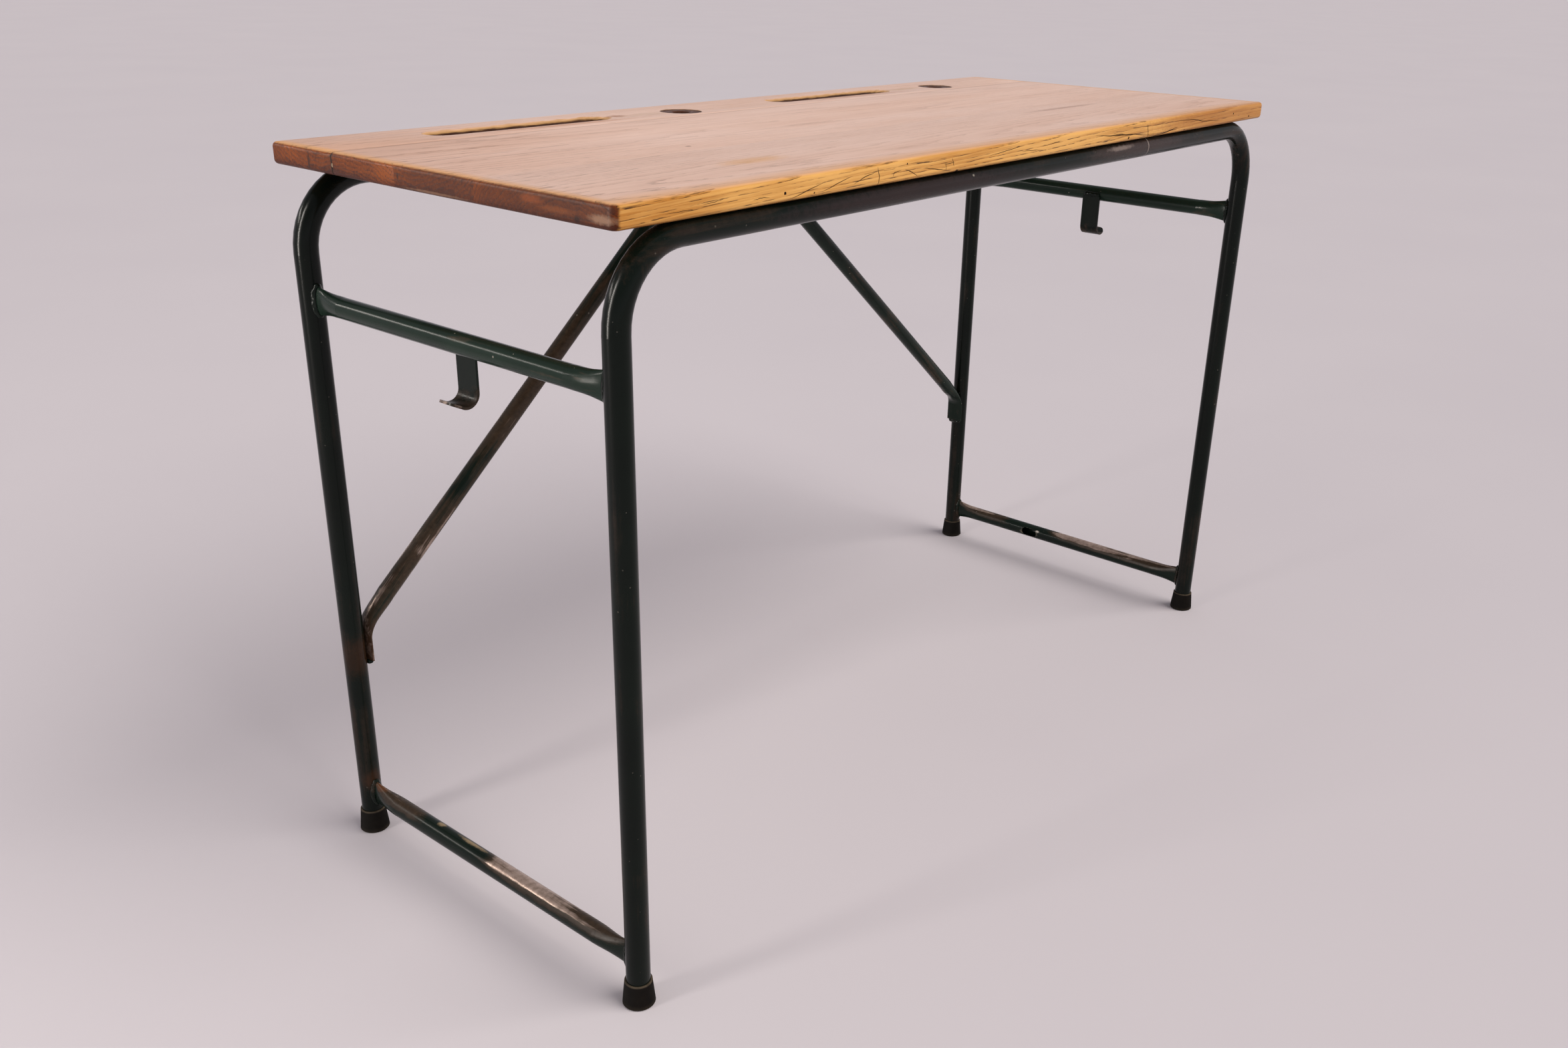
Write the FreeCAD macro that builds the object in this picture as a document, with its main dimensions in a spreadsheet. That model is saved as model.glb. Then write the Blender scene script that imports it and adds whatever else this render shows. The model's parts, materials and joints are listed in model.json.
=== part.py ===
import FreeCAD, Part
import math
import os
import re

import Sketcher

# A school desk for two pupils: a top glued up from four boards on a welded steel tube frame.
# Millimetres. X runs along the desk, from the left pupil to the right one, and Y from the pupils'
# side to the back. The floor is Z = 0, and X = 0 is the middle of the top.

doc = FreeCAD.newDocument("SchoolDesk")
Vector = FreeCAD.Vector
UP = Vector(0, 0, 1)
ALONG_X = Vector(1, 0, 0)

# Two lengths are the same when they differ by less than this share
SAME_SHARE = 1e-6

# Driving sizes
SIZES = {
    # the top and its boards
    "top_length": 1200,
    "back_board_width": 101,
    "middle_back_board_width": 96,
    "middle_front_board_width": 110,
    "front_board_width": 169,
    "top_thickness": 21,
    "desk_height": 770,
    "top_end_overhang": 11,
    "top_front_overhang": 14,
    "top_back_overhang": 22,
    "top_edge_radius": 4.5,
    "front_left_corner_radius": 8,
    "front_right_corner_radius": 5.5,
    "back_left_corner_radius": 5.5,
    "back_right_corner_radius": 12,
    # the loose tongues in the joints between the boards, which stop short of the ends
    "tongue_width": 12,
    "tongue_thickness": 5,
    "tongue_setback": 15,
    "tongue_clearance": 0.1,
    # the pen grooves, cut with a round cutter that lifts out at a slope at the right end; the shares are
    # of the top's length, from its left end
    "left_groove_share": 0.114,
    "right_groove_share": 0.547,
    "groove_length_share": 0.208,
    "groove_radius": 25.5,
    "groove_depth": 9,
    "groove_runout": 22,
    "groove_back_margin": 52,
    # the inkwells and their stepped holes, placed along the top by shares of its length too
    "left_inkwell_share": 0.407,
    "right_inkwell_share": 0.839,
    "inkwell_back_margin": 62,
    "inkwell_hole_diameter": 50,
    "inkwell_step_depth": 5,
    "inkwell_flange_thickness": 4,
    "inkwell_cup_diameter": 36,
    "inkwell_cup_depth": 27,
    "inkwell_mouth_diameter": 21,
    "inkwell_wall": 3,
    "inkwell_rounding": 0.8,
    "inkwell_clearance": 0.5,
    # the two bent tubes that make the legs and the rails under the top
    "rear_leg_y": 216,
    "tube_diameter": 24,
    "tube_wall": 1.5,
    "frame_bend_radius": 72,
    "top_seat_gap": 0.1,
    # the side rails and the foot rails, flattened and flared at their ends
    "rail_diameter": 21,
    "rail_wall": 1.5,
    "side_rail_drop": 129,
    "foot_rail_height": 51,
    "rail_flare_length": 46,
    "rail_flare_height": 30,
    "rail_flare_thickness": 8,
    "rail_cope_depth": 2,
    # the oval hole in the inner wall of each foot rail
    "slot_length": 28,
    "slot_width": 13,
    "slot_y": 55,
    # the braces behind
    "brace_diameter": 20,
    "brace_wall": 1.5,
    "brace_foot_height": 243,
    "brace_top_offset": 14,
    "brace_tab_thickness": 5,
    "brace_tab_width": 28,
    "brace_bend_length": 42,
    "brace_tab_bend": 12,
    "brace_lower_tab_length": 28.5,
    "brace_upper_tab_length": 6,
    # the satchel hooks of flat strip
    "hook_width": 28,
    "hook_thickness": 2.5,
    "hook_lap": 2,
    "hook_drop": 47.5,
    "hook_bend_radius": 12,
    "hook_turn": 116,
    "hook_lip": 11.2,
    "hook_tip_radius": 10,
    "hook_top_radius": 3,
    "left_hook_y": -11,
    "right_hook_y": -2,
    # the weld beads
    "weld_gap": 0.1,
    "weld_bead": 3.5,
    # the rubber ferrules
    "ferrule_height": 27,
    "ferrule_rim_diameter": 27.5,
    "ferrule_foot_diameter": 32.5,
    "ferrule_sole": 5,
    "ferrule_edge": 1.2,
    "ferrule_rim_edge": 0.6,
    "ferrule_clearance": 0.05,
    # the screws that hold the top
    "screw_end_inset": 89,
    "screw_diameter": 4.8,
    "screw_bite": 12,
    "screw_point": 6,
    "screw_head_diameter": 8,
    "screw_head_height": 2.5,
    "screw_slot_width": 1.2,
    "screw_slot_depth": 1.1,
    "screw_tube_clearance": 0.3,
    "screw_access_clearance": 0.4,
    "screw_wood_clearance": 0.05,
    # how far a cut runs past the piece that it cuts
    "overrun": 4,
}

# Sizes worked out from the driving ones
DERIVED = {
    "underside": "desk_height - top_thickness",
    "top_back_y": "rear_leg_y + top_back_overhang",
    "back_joint_y": "top_back_y - back_board_width",
    "middle_joint_y": "back_joint_y - middle_back_board_width",
    "front_joint_y": "middle_joint_y - middle_front_board_width",
    "top_front_y": "front_joint_y - front_board_width",
    "groove_y": "top_back_y - groove_back_margin",
    "groove_length": "groove_length_share * top_length",
    "groove_axis_height": "desk_height + groove_radius - groove_depth",
    "groove_lead_in": "groove_radius - sqrt(groove_radius ^ 2 - (groove_radius - groove_depth) ^ 2)",
    "inkwell_y": "top_back_y - inkwell_back_margin",
    "inkwell_seat": "desk_height - inkwell_step_depth",
    "front_leg_y": "top_front_y + top_front_overhang",
    "leg_x": "top_length / 2 - top_end_overhang",
    "tube_radius": "tube_diameter / 2",
    "rail_radius": "rail_diameter / 2",
    "side_rail_height": "underside - side_rail_drop",
    "frame_rail_height": "underside - top_seat_gap - tube_radius",
    "leg_gap": "rear_leg_y - front_leg_y",
    "rail_reach": "leg_gap - tube_diameter + 2 * rail_cope_depth",
    "rail_start_y": "front_leg_y + tube_radius - rail_cope_depth",
    "brace_run": "leg_x - brace_top_offset",
    "brace_rise": "frame_rail_height - brace_foot_height",
    "brace_angle": "atan2(brace_rise; brace_run)",
    "brace_low_y": "tube_radius + weld_gap + brace_tab_thickness / 2",
    "brace_low_z": "brace_foot_height + brace_low_y * brace_rise / brace_run",
    "brace_lower_tab_end": "brace_low_z - brace_tab_bend - brace_lower_tab_length",
    "brace_high_z": "frame_rail_height - tube_radius - weld_gap - brace_tab_thickness / 2",
    "brace_high_y": "(brace_high_z - brace_foot_height) * brace_run / brace_rise",
    "hook_strap_x": "leg_x - rail_radius - weld_gap - hook_thickness / 2",
    "hook_top": "side_rail_height - hook_lap",
    "screw_pitch": "leg_x - screw_end_inset",
    "bore_radius": "tube_radius - tube_wall",
    "screw_head_seat": "frame_rail_height + sqrt(bore_radius ^ 2 - (screw_head_diameter / 2) ^ 2)",
    "screw_length": "underside - screw_head_seat + screw_bite",
}

sheet = doc.addObject("Spreadsheet::Sheet", "Sizes")
for row, (alias, size) in enumerate(SIZES.items(), start=1):
    sheet.set(f"A{row}", alias)
    sheet.set(f"B{row}", str(size))
    sheet.setAlias(f"B{row}", alias)
doc.recompute()


def formula(words):
    """The words as a formula of the sheet: a derived size is written out, a driving one gets its cell."""
    def spell(found):
        word = found.group(0)
        if word in DERIVED:
            return f"({formula(DERIVED[word])})"
        return f"Sizes.{word}" if word in SIZES else word
    return re.sub(r"[a-z_][a-z_0-9]*", spell, words)


def value(words):
    """The number that a formula gives now."""
    number = sheet.evalExpression(formula(words))
    return float(getattr(number, "Value", number))


def bind(thing, **formulas):
    """Tie properties to formulas; at_x, at_y, at_z and turn stand for parts of the placement."""
    places = {"at_x": "Placement.Base.x", "at_y": "Placement.Base.y", "at_z": "Placement.Base.z"}
    places["turn"] = "Placement.Rotation.Angle"
    for name, words in formulas.items():
        thing.setExpression(places.get(name, name), formula(words))
    return thing


def make(kind, label, **formulas):
    """A new object of the document, with its sizes tied to the sheet."""
    thing = doc.addObject(kind, label)
    thing.Label = label
    return bind(thing, **formulas)


def fuse(label, pieces):
    whole = make("Part::MultiFuse", label)
    whole.Shapes = pieces
    return whole


def cut(label, base, tools):
    """The base less each of the tools in turn."""
    rest = base
    for number, tool in enumerate(tools, start=1):
        last = number == len(tools)
        step = make("Part::Cut", label if last else f"{label}_cut_{number}")
        step.Base = rest
        step.Tool = tool
        rest = step
    return rest


def group(label, pieces):
    """Like pieces that share one node, each a solid of its own."""
    together = make("Part::Compound", label)
    together.Links = pieces
    return together


def box(label, length, width, height, x, y, z):
    """A box centred on x, from y towards the back and from z upwards."""
    return make("Part::Box", label, Length=length, Width=width, Height=height,
                at_x=f"({x}) - ({length}) / 2", at_y=y, at_z=z)


def rod(label, radius, height, x, y, z):
    """An upright cylinder that stands on z."""
    return make("Part::Cylinder", label, Radius=radius, Height=height, at_x=x, at_y=y, at_z=z)


def origin_plane(body, role):
    return next(feature for feature in body.Origin.OriginFeatures if feature.Role == role)


def new_body(label, **formulas):
    return make("PartDesign::Body", label, **formulas)


def new_sketch(body, name, role):
    sketch = body.newObject("Sketcher::SketchObject", name)
    sketch.AttachmentSupport = [(origin_plane(body, role), "")]
    sketch.MapMode = "FlatFace"
    return sketch


def limit(sketch, kind, words, *where):
    """A dimension of the sketch, tied to a formula."""
    number = sketch.addConstraint(Sketcher.Constraint(kind, *where, value(words)))
    sketch.setExpression(f"Constraints[{number}]", formula(words))


def pin(sketch, side, end, corner):
    """Hold one end of a side at a corner whose x and y are formulas."""
    limit(sketch, "DistanceX", corner[0], -1, 1, side, end)
    limit(sketch, "DistanceY", corner[1], -1, 1, side, end)


def draw(sketch, corners, arcs=None, closed=True):
    """Sides from corner to corner, anticlockwise round a solid. A side that arcs names is round, about
    the centre given there."""
    arcs = arcs or {}
    points = [Vector(value(x), value(y), 0) for x, y in corners]
    count = len(corners) if closed else len(corners) - 1
    for side in range(count):
        following = (side + 1) % len(corners)
        if side not in arcs:
            sketch.addGeometry(Part.LineSegment(points[side], points[following]))
            pin(sketch, side, 1, corners[side])
            pin(sketch, side, 2, corners[following])
            continue
        centre = Vector(*(value(words) for words in arcs[side]), 0)
        spokes = [points[side] - centre, points[following] - centre]
        ends = (1, 2)
        if spokes[0].cross(spokes[1]).z < -SAME_SHARE * spokes[0].Length ** 2:
            spokes.reverse()
            ends = (2, 1)
        angles = [math.atan2(spoke.y, spoke.x) for spoke in spokes]
        if angles[1] < angles[0]:
            angles[1] += 2 * math.pi
        circle = Part.Circle(centre, UP, spokes[0].Length)
        sketch.addGeometry(Part.ArcOfCircle(circle, *angles))
        pin(sketch, side, 3, arcs[side])
        pin(sketch, side, ends[0], corners[side])
        # the radius is settled now, so the far end needs only the distance that its angle changes most
        far = points[following] - centre
        if abs(far.y) > abs(far.x):
            limit(sketch, "DistanceX", corners[following][0], -1, 1, side, ends[1])
        else:
            limit(sketch, "DistanceY", corners[following][1], -1, 1, side, ends[1])


def draw_circle(sketch, x, y, diameter):
    centre = Vector(value(x), value(y), 0)
    ring = sketch.addGeometry(Part.Circle(centre, UP, value(diameter) / 2))
    limit(sketch, "Diameter", diameter, ring)
    pin(sketch, ring, 3, (x, y))


def pad(body, sketch, length, name):
    block = body.newObject("PartDesign::Pad", name)
    block.Profile = sketch
    bind(block, Length=length)
    doc.recompute()
    return block


def turned(body, sketch, axis, name):
    """A solid of revolution about an axis of its sketch."""
    solid = body.newObject("PartDesign::Revolution", name)
    solid.Profile = sketch
    solid.ReferenceAxis = (sketch, [axis])
    doc.recompute()
    return solid


def swept(body, profile, path, name):
    """A solid swept from a profile along all sides of a path."""
    doc.recompute()
    solid = body.newObject("PartDesign::AdditivePipe", name)
    solid.Profile = profile
    solid.Spine = (path, [f"Edge{number + 1}" for number in range(len(path.Shape.Edges))])
    doc.recompute()
    return solid


def pocket(body, sketch, name, height=None):
    """Cut the sketch through the whole body, both ways, or only up to a height above it."""
    hole = body.newObject("PartDesign::Pocket", name)
    hole.Profile = sketch
    if height is None:
        hole.Type = "ThroughAll"
        hole.SideType = "Symmetric"
    else:
        hole.Reversed = True
        bind(hole, Length=height)
    before = body.Shape.Volume
    doc.recompute()
    if hole.Shape.Volume >= before:
        raise RuntimeError(f"{name} cuts nothing")
    return hole


def rounded(body, feature, name, radius, chosen):
    """Round the edges of a feature that the test chooses."""
    edges = [f"Edge{n}" for n, edge in enumerate(feature.Shape.Edges, start=1) if chosen(edge)]
    fillet = body.newObject("PartDesign::Fillet", name)
    fillet.Base = (feature, edges)
    bind(fillet, Radius=radius)
    doc.recompute()
    return fillet


def is_upright(edge):
    first, last = edge.Vertexes[0].Point, edge.Vertexes[-1].Point
    return (last - first).cross(UP).Length < SAME_SHARE * edge.Length


# The top. The panel is rounded as one piece and the boards are its slices.
panel = new_body("panel", at_y="top_front_y", at_z="underside")
plan = new_sketch(panel, "panel_plan", "XY_Plane")
panel_depth = "top_back_y - top_front_y"
draw(plan, [("-top_length / 2", "0"), ("top_length / 2", "0"),
            ("top_length / 2", panel_depth), ("-top_length / 2", panel_depth)])
slab = pad(panel, plan, "top_thickness", "panel_slab")
middle_depth = value(panel_depth) / 2
for row in ("front", "back"):
    for side in ("left", "right"):
        slab = rounded(panel, slab, f"{row}_{side}_corner", f"{row}_{side}_corner_radius",
                       lambda edge: is_upright(edge)
                       and (edge.CenterOfMass.y > middle_depth) == (row == "back")
                       and (edge.CenterOfMass.x > 0) == (side == "right"))
slab_bounds = slab.Shape.BoundBox
rounded(panel, slab, "panel_rims", "top_edge_radius",
        lambda edge: edge.BoundBox.ZLength < SAME_SHARE * slab_bounds.ZLength)


def board(label, front_y, width):
    """One board of the panel."""
    slice_box = box(f"{label}_slice", "top_length + 2 * overrun", width,
                    "top_thickness + 2 * overrun", "0", front_y, "underside - overrun")
    common = make("Part::Common", f"{label}_blank")
    common.Base = panel
    common.Tool = slice_box
    return common


# Loose tongues, one in each joint, and the closed groove that takes each
tongues = []
tongue_cuts = {}
middle = "underside + top_thickness / 2"
tongue_length = "top_length - 2 * tongue_setback"
slack = "2 * tongue_clearance"
for joint in ("back_joint", "middle_joint", "front_joint"):
    tongues.append(box(f"{joint}_tongue", tongue_length, "tongue_width", "tongue_thickness",
                       "0", f"{joint}_y - tongue_width / 2", f"{middle} - tongue_thickness / 2"))
    tongue_cuts[joint] = box(
        f"{joint}_cut", f"{tongue_length} + {slack}", f"tongue_width + {slack}",
        f"tongue_thickness + {slack}", "0", f"{joint}_y - tongue_width / 2 - tongue_clearance",
        f"{middle} - tongue_thickness / 2 - tongue_clearance")
board_tongues = group("board_tongues", tongues)


# The screws in each rail, counted in pitches from the middle
SCREW_PLACES = (-1, 0, 1)


def pilot_holes(row, y):
    """The holes in the underside that the screws of one rail bite into."""
    holes = []
    for number, place in enumerate(SCREW_PLACES, start=1):
        holes.append(rod(f"{row}_pilot_{number}", "screw_diameter / 2 + screw_wood_clearance",
                         "screw_bite + overrun", f"{place} * screw_pitch", y, "underside - overrun"))
    return holes


front_board = cut("front_board", board("front_board", "top_front_y", "front_board_width"),
                  [tongue_cuts["front_joint"], *pilot_holes("front", "front_leg_y")])
middle_front_board = cut(
    "middle_front_board", board("middle_front_board", "front_joint_y", "middle_front_board_width"),
    [tongue_cuts["front_joint"], tongue_cuts["middle_joint"]])
middle_back_board = cut(
    "middle_back_board", board("middle_back_board", "middle_joint_y", "middle_back_board_width"),
    [tongue_cuts["middle_joint"], tongue_cuts["back_joint"]])


def groove_cutter(label, x):
    """A round bar on its side: a round end at the left, and a taper at the right."""
    cutter = new_body(label, at_x=f"{x} - groove_lead_in", at_y="groove_y", at_z="groove_axis_height")
    outline = new_sketch(cutter, f"{label}_outline", "XZ_Plane")
    straight_end = "groove_lead_in + groove_length - groove_runout"
    taper_end = f"{straight_end} + groove_radius * groove_runout / groove_depth"
    draw(outline, [("0", "0"), ("groove_radius", "groove_radius"), (straight_end, "groove_radius"),
                   (taper_end, "0")], arcs={0: ("groove_radius", "0")})
    turned(cutter, outline, "H_Axis", f"{label}_bar")
    return cutter


def along_top(share):
    """The x of a place along the top."""
    return f"({share} - 0.5) * top_length"


# Two pupils' places: a groove and an inkwell hole for each
back_cuts = [tongue_cuts["back_joint"], *pilot_holes("rear", "rear_leg_y")]
for name in ("left", "right"):
    inkwell_x = along_top(f"{name}_inkwell_share")
    back_cuts.append(groove_cutter(f"{name}_groove", along_top(f"{name}_groove_share")))
    back_cuts.append(rod(f"{name}_inkwell_step", "inkwell_hole_diameter / 2",
                         "inkwell_step_depth + overrun", inkwell_x, "inkwell_y", "inkwell_seat"))
    back_cuts.append(rod(f"{name}_inkwell_bore", "inkwell_cup_diameter / 2 + inkwell_clearance",
                         "top_thickness + 2 * overrun", inkwell_x, "inkwell_y", "underside - overrun"))
back_board = cut("back_board", board("back_board", "back_joint_y", "back_board_width"), back_cuts)


def inkwell(label, x):
    """A moulded cup with a flange that hangs on the step of its hole, and a narrower mouth."""
    well = new_body(label, at_x=x, at_y="inkwell_y", at_z="inkwell_seat")
    outline = new_sketch(well, f"{label}_outline", "XZ_Plane")
    cup = "inkwell_cup_diameter / 2"
    flange = "inkwell_hole_diameter / 2 - inkwell_clearance"
    mouth = "inkwell_mouth_diameter / 2"
    inner = f"{cup} - inkwell_wall"
    top = "inkwell_flange_thickness"
    edge = "inkwell_rounding"
    draw(outline, [
        ("0", "-inkwell_cup_depth"),
        (f"{cup} - {edge}", "-inkwell_cup_depth"),
        (cup, f"{edge} - inkwell_cup_depth"),
        (cup, "0"),
        (flange, "0"),
        (flange, f"{top} - {edge}"),
        (f"{flange} - {edge}", top),
        (f"{mouth} + {edge}", top),
        (mouth, f"{top} - {edge}"),
        (mouth, "0"),
        (inner, "0"),
        (inner, "inkwell_wall - inkwell_cup_depth"),
        ("0", "inkwell_wall - inkwell_cup_depth"),
    ])
    turned(well, outline, "V_Axis", f"{label}_cup")
    return well


left_inkwell = inkwell("left_inkwell", along_top("left_inkwell_share"))
right_inkwell = inkwell("right_inkwell", along_top("right_inkwell_share"))


def bent_frame(label, y):
    """Two legs and the rail between them, bent from one tube."""
    body = new_body(label, at_y=y)
    path = new_sketch(body, f"{label}_path", "XZ_Plane")
    bend = "frame_bend_radius"
    high = "frame_rail_height"
    draw(path, [
        ("-leg_x", "ferrule_sole"),
        ("-leg_x", f"{high} - {bend}"),
        (f"-leg_x + {bend}", high),
        (f"leg_x - {bend}", high),
        ("leg_x", f"{high} - {bend}"),
        ("leg_x", "ferrule_sole"),
    ], arcs={
        1: (f"-leg_x + {bend}", f"{high} - {bend}"),
        3: (f"leg_x - {bend}", f"{high} - {bend}"),
    }, closed=False)
    ring = new_sketch(body, f"{label}_ring", "XY_Plane")
    bind(ring, **{"AttachmentOffset.Base.z": "ferrule_sole"})
    draw_circle(ring, "-leg_x", "0", "tube_diameter")
    draw_circle(ring, "-leg_x", "0", "tube_diameter - 2 * tube_wall")
    swept(body, ring, path, f"{label}_tube")
    # a screw goes in through a wide hole in the lower wall, and only its shank through the upper wall
    for kind, diameter, height in (
            ("shank", "screw_diameter + 2 * screw_tube_clearance", None),
            ("access", "screw_head_diameter + 2 * screw_access_clearance", high)):
        holes = new_sketch(body, f"{label}_{kind}_holes", "XY_Plane")
        for place in SCREW_PLACES:
            draw_circle(holes, f"{place} * screw_pitch", "0", diameter)
        pocket(body, holes, f"{label}_{kind}_cut", height)
    return body


front_frame = bent_frame("front_frame", "front_leg_y")
rear_frame = bent_frame("rear_frame", "rear_leg_y")


def leg_core(label, x, y):
    """The leg as a solid bar, a little thicker than the tube, that shapes what is welded to it."""
    return rod(label, "tube_radius + weld_gap", "frame_rail_height", x, y, "0")


SIGNS = {"left": "-", "right": ""}
SIDES = {side: f"{sign}leg_x" for side, sign in SIGNS.items()}
leg_cores = {}
for side, x in SIDES.items():
    for row in ("front", "rear"):
        leg_cores[side, row] = leg_core(f"{side}_{row}_leg_core", x, f"{row}_leg_y")


def oval(label, wide, thick, **place):
    """A cross-section across the local Z axis, its wide way along local X."""
    section = make("Part::Ellipse", label)
    section.Placement = FreeCAD.Placement(Vector(), FreeCAD.Rotation(ALONG_X, 1))
    place.setdefault("turn", "0")
    return bind(section, MajorRadius=f"({wide}) / 2", MinorRadius=f"({thick}) / 2", **place)


def loft(label, sections, ruled=False):
    skin = make("Part::Loft", label)
    skin.Sections = sections
    skin.Solid = True
    skin.Ruled = ruled
    return skin


# Along a flared rail end, from the weld to the round tube: how far, how tall and how flat it still is
FLARE_SHARES = ((0, 1, 1), (0.14, 0.78, 0.92), (0.36, 0.40, 0.64), (0.66, 0.12, 0.26), (1, 0, 0))


def rail_stock(label, shrink):
    """A straight tube with a flared, flattened tail at each end, as a solid. Local Z runs along it."""
    parts = []
    for tail in ("front", "rear"):
        sections = []
        for number, (way, tall, flat) in enumerate(FLARE_SHARES):
            height = f"rail_diameter + {tall} * (rail_flare_height - rail_diameter) - {shrink}"
            thick = f"rail_diameter - {flat} * (rail_diameter - rail_flare_thickness) - {shrink}"
            along = f"{way} * rail_flare_length"
            if tail == "rear":
                along = f"rail_reach - {along}"
            sections.append(oval(f"{label}_{tail}_{number}", height, thick, at_z=along))
        parts.append(loft(f"{label}_{tail}_tail", sections))
    parts.append(make("Part::Cylinder", f"{label}_bar", Radius=f"rail_radius - {shrink} / 2",
                      Height="rail_reach - 2 * rail_flare_length", at_z="rail_flare_length"))
    return fuse(label, parts)


def laid_along(stock, label, x, z):
    """A copy of the stock laid from the front leg to the back, its local X upwards."""
    copy = make("Part::Compound", label)
    copy.Links = [stock]
    copy.Placement = FreeCAD.Placement(Vector(), FreeCAD.Rotation(Vector(1, 1, 1), -120))
    return bind(copy, at_x=x, at_y="rail_start_y", at_z=z)


rail_solid = rail_stock("rail_solid", "0")
rail_bore = rail_stock("rail_bore", "2 * rail_wall")
rail_solids = {}


def rail(side, kind, slot=None):
    """One rail between the two legs of a side, coped to them and hollow."""
    label = f"{side}_{kind}"
    x = SIDES[side]
    outside = laid_along(rail_solid, f"{label}_outside", x, f"{kind}_height")
    inside = laid_along(rail_bore, f"{label}_inside", x, f"{kind}_height")
    rail_solids[label] = outside
    tools = [inside, leg_cores[side, "front"], leg_cores[side, "rear"]]
    if slot:
        tools.append(slot)
    return cut(label, outside, tools)


def foot_rail_slot(side):
    """The oval hole in the inner wall: a round-ended bar across the tube, from its axis inwards."""
    body = new_body(f"{side}_slot", at_x=SIDES[side], at_y="slot_y", at_z="foot_rail_height")
    outline = new_sketch(body, f"{side}_slot_outline", "YZ_Plane")
    half = "slot_width / 2"
    straight = "(slot_length - slot_width) / 2"
    draw(outline, [(f"-{straight}", f"-{half}"), (straight, f"-{half}"), (straight, half),
                   (f"-{straight}", half)],
         arcs={1: (straight, "0"), 3: (f"-{straight}", "0")})
    bar = pad(body, outline, "rail_radius + overrun", f"{side}_slot_bar")
    bar.Reversed = side == "right"
    return body


left_side_rail = rail("left", "side_rail")
right_side_rail = rail("right", "side_rail")
left_foot_rail = rail("left", "foot_rail", foot_rail_slot("left"))
right_foot_rail = rail("right", "foot_rail", foot_rail_slot("right"))

# Along a flattened brace end, from the round tube to the flat tab: how far, how flat, how wide
FLATTEN_SHARES = ((0, 0, 0), (0.35, 0.30, 0.25), (0.7, 0.78, 0.75), (1, 1, 1))


def brace_tail(label, end, shrink):
    """One end of a brace, flattened while it turns onto what it is welded to, with its flat tab."""
    sections = []
    for number, (way, flat, wide) in enumerate(FLATTEN_SHARES):
        round_leg = f"(brace_bend_length * {1 - way})"
        flat_leg = f"(brace_tab_bend * {way})"
        thick = f"brace_diameter - {flat} * (brace_diameter - brace_tab_thickness) - {shrink}"
        width = f"brace_diameter + {wide} * (brace_tab_width - brace_diameter) - {shrink}"
        run = f"{round_leg} * cos(brace_angle)"
        rise = f"{round_leg} * sin(brace_angle)"
        if end == "low":
            place = {"at_y": f"brace_low_y + {run} * {1 - way}",
                     "at_z": f"brace_low_z + {rise} * {1 - way} - {flat_leg} * {way}",
                     "turn": f"atan2({rise} + {flat_leg}; {run}) - 90 deg"}
        else:
            place = {"at_y": f"brace_high_y - {run} * {1 - way} + {flat_leg} * {way}",
                     "at_z": f"brace_high_z - {rise} * {1 - way}",
                     "turn": f"atan2({rise}; {run} + {flat_leg}) - 90 deg"}
        sections.append(oval(f"{label}_{end}_{number}", width, thick, **place))
    return loft(f"{label}_{end}_tail", sections)


def brace_stock(label, shrink):
    """The slanted tube and its two flattened ends, as a solid in the local YZ plane."""
    run = "brace_bend_length * cos(brace_angle)"
    rise = "brace_bend_length * sin(brace_angle)"
    straight = "(brace_high_y - brace_low_y) / cos(brace_angle) - 2 * brace_bend_length"
    bar = make("Part::Cylinder", f"{label}_bar", Radius=f"(brace_diameter - {shrink}) / 2",
               Height=straight)
    bar.Placement = FreeCAD.Placement(Vector(), FreeCAD.Rotation(ALONG_X, 1))
    bind(bar, at_y=f"brace_low_y + {run}", at_z=f"brace_low_z + {rise}", turn="brace_angle - 90 deg")
    return [bar, brace_tail(label, "low", shrink), brace_tail(label, "high", shrink)]


def brace_tab(label, end):
    """The flat tab beyond a brace's bend."""
    sections = []
    for number in (0, 1):
        if end == "low":
            far = "brace_lower_tab_end" if number else "brace_low_z - brace_tab_bend"
            place = {"at_y": "brace_low_y", "at_z": far, "turn": "0"}
        else:
            far = f"brace_high_y + brace_tab_bend + {number} * brace_upper_tab_length"
            place = {"at_y": far, "at_z": "brace_high_z", "turn": "-90"}
        name = f"{label}_{end}_tab_{number}"
        sections.append(oval(name, "brace_tab_width", "brace_tab_thickness", **place))
    return loft(f"{label}_{end}_tab", sections, ruled=True)


brace_solid = fuse("brace_solid", [*brace_stock("brace_solid", "0"),
                                   brace_tab("brace", "low"), brace_tab("brace", "high")])
brace_bore = fuse("brace_bore", brace_stock("brace_bore", "2 * brace_wall"))
brace_blank = cut("brace_blank", brace_solid, [brace_bore])


def stood_behind(stock, label, side):
    """A copy of a brace shape in the plane of the rear legs. The right one is turned half round."""
    copy = make("Part::Compound", label)
    copy.Links = [stock]
    quarter = -90 if side == "left" else 90
    copy.Placement = FreeCAD.Placement(Vector(), FreeCAD.Rotation(UP, quarter))
    return bind(copy, at_x=SIDES[side], at_y="rear_leg_y")


left_brace = stood_behind(brace_blank, "left_brace", "left")
right_brace = stood_behind(brace_blank, "right_brace", "right")


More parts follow.
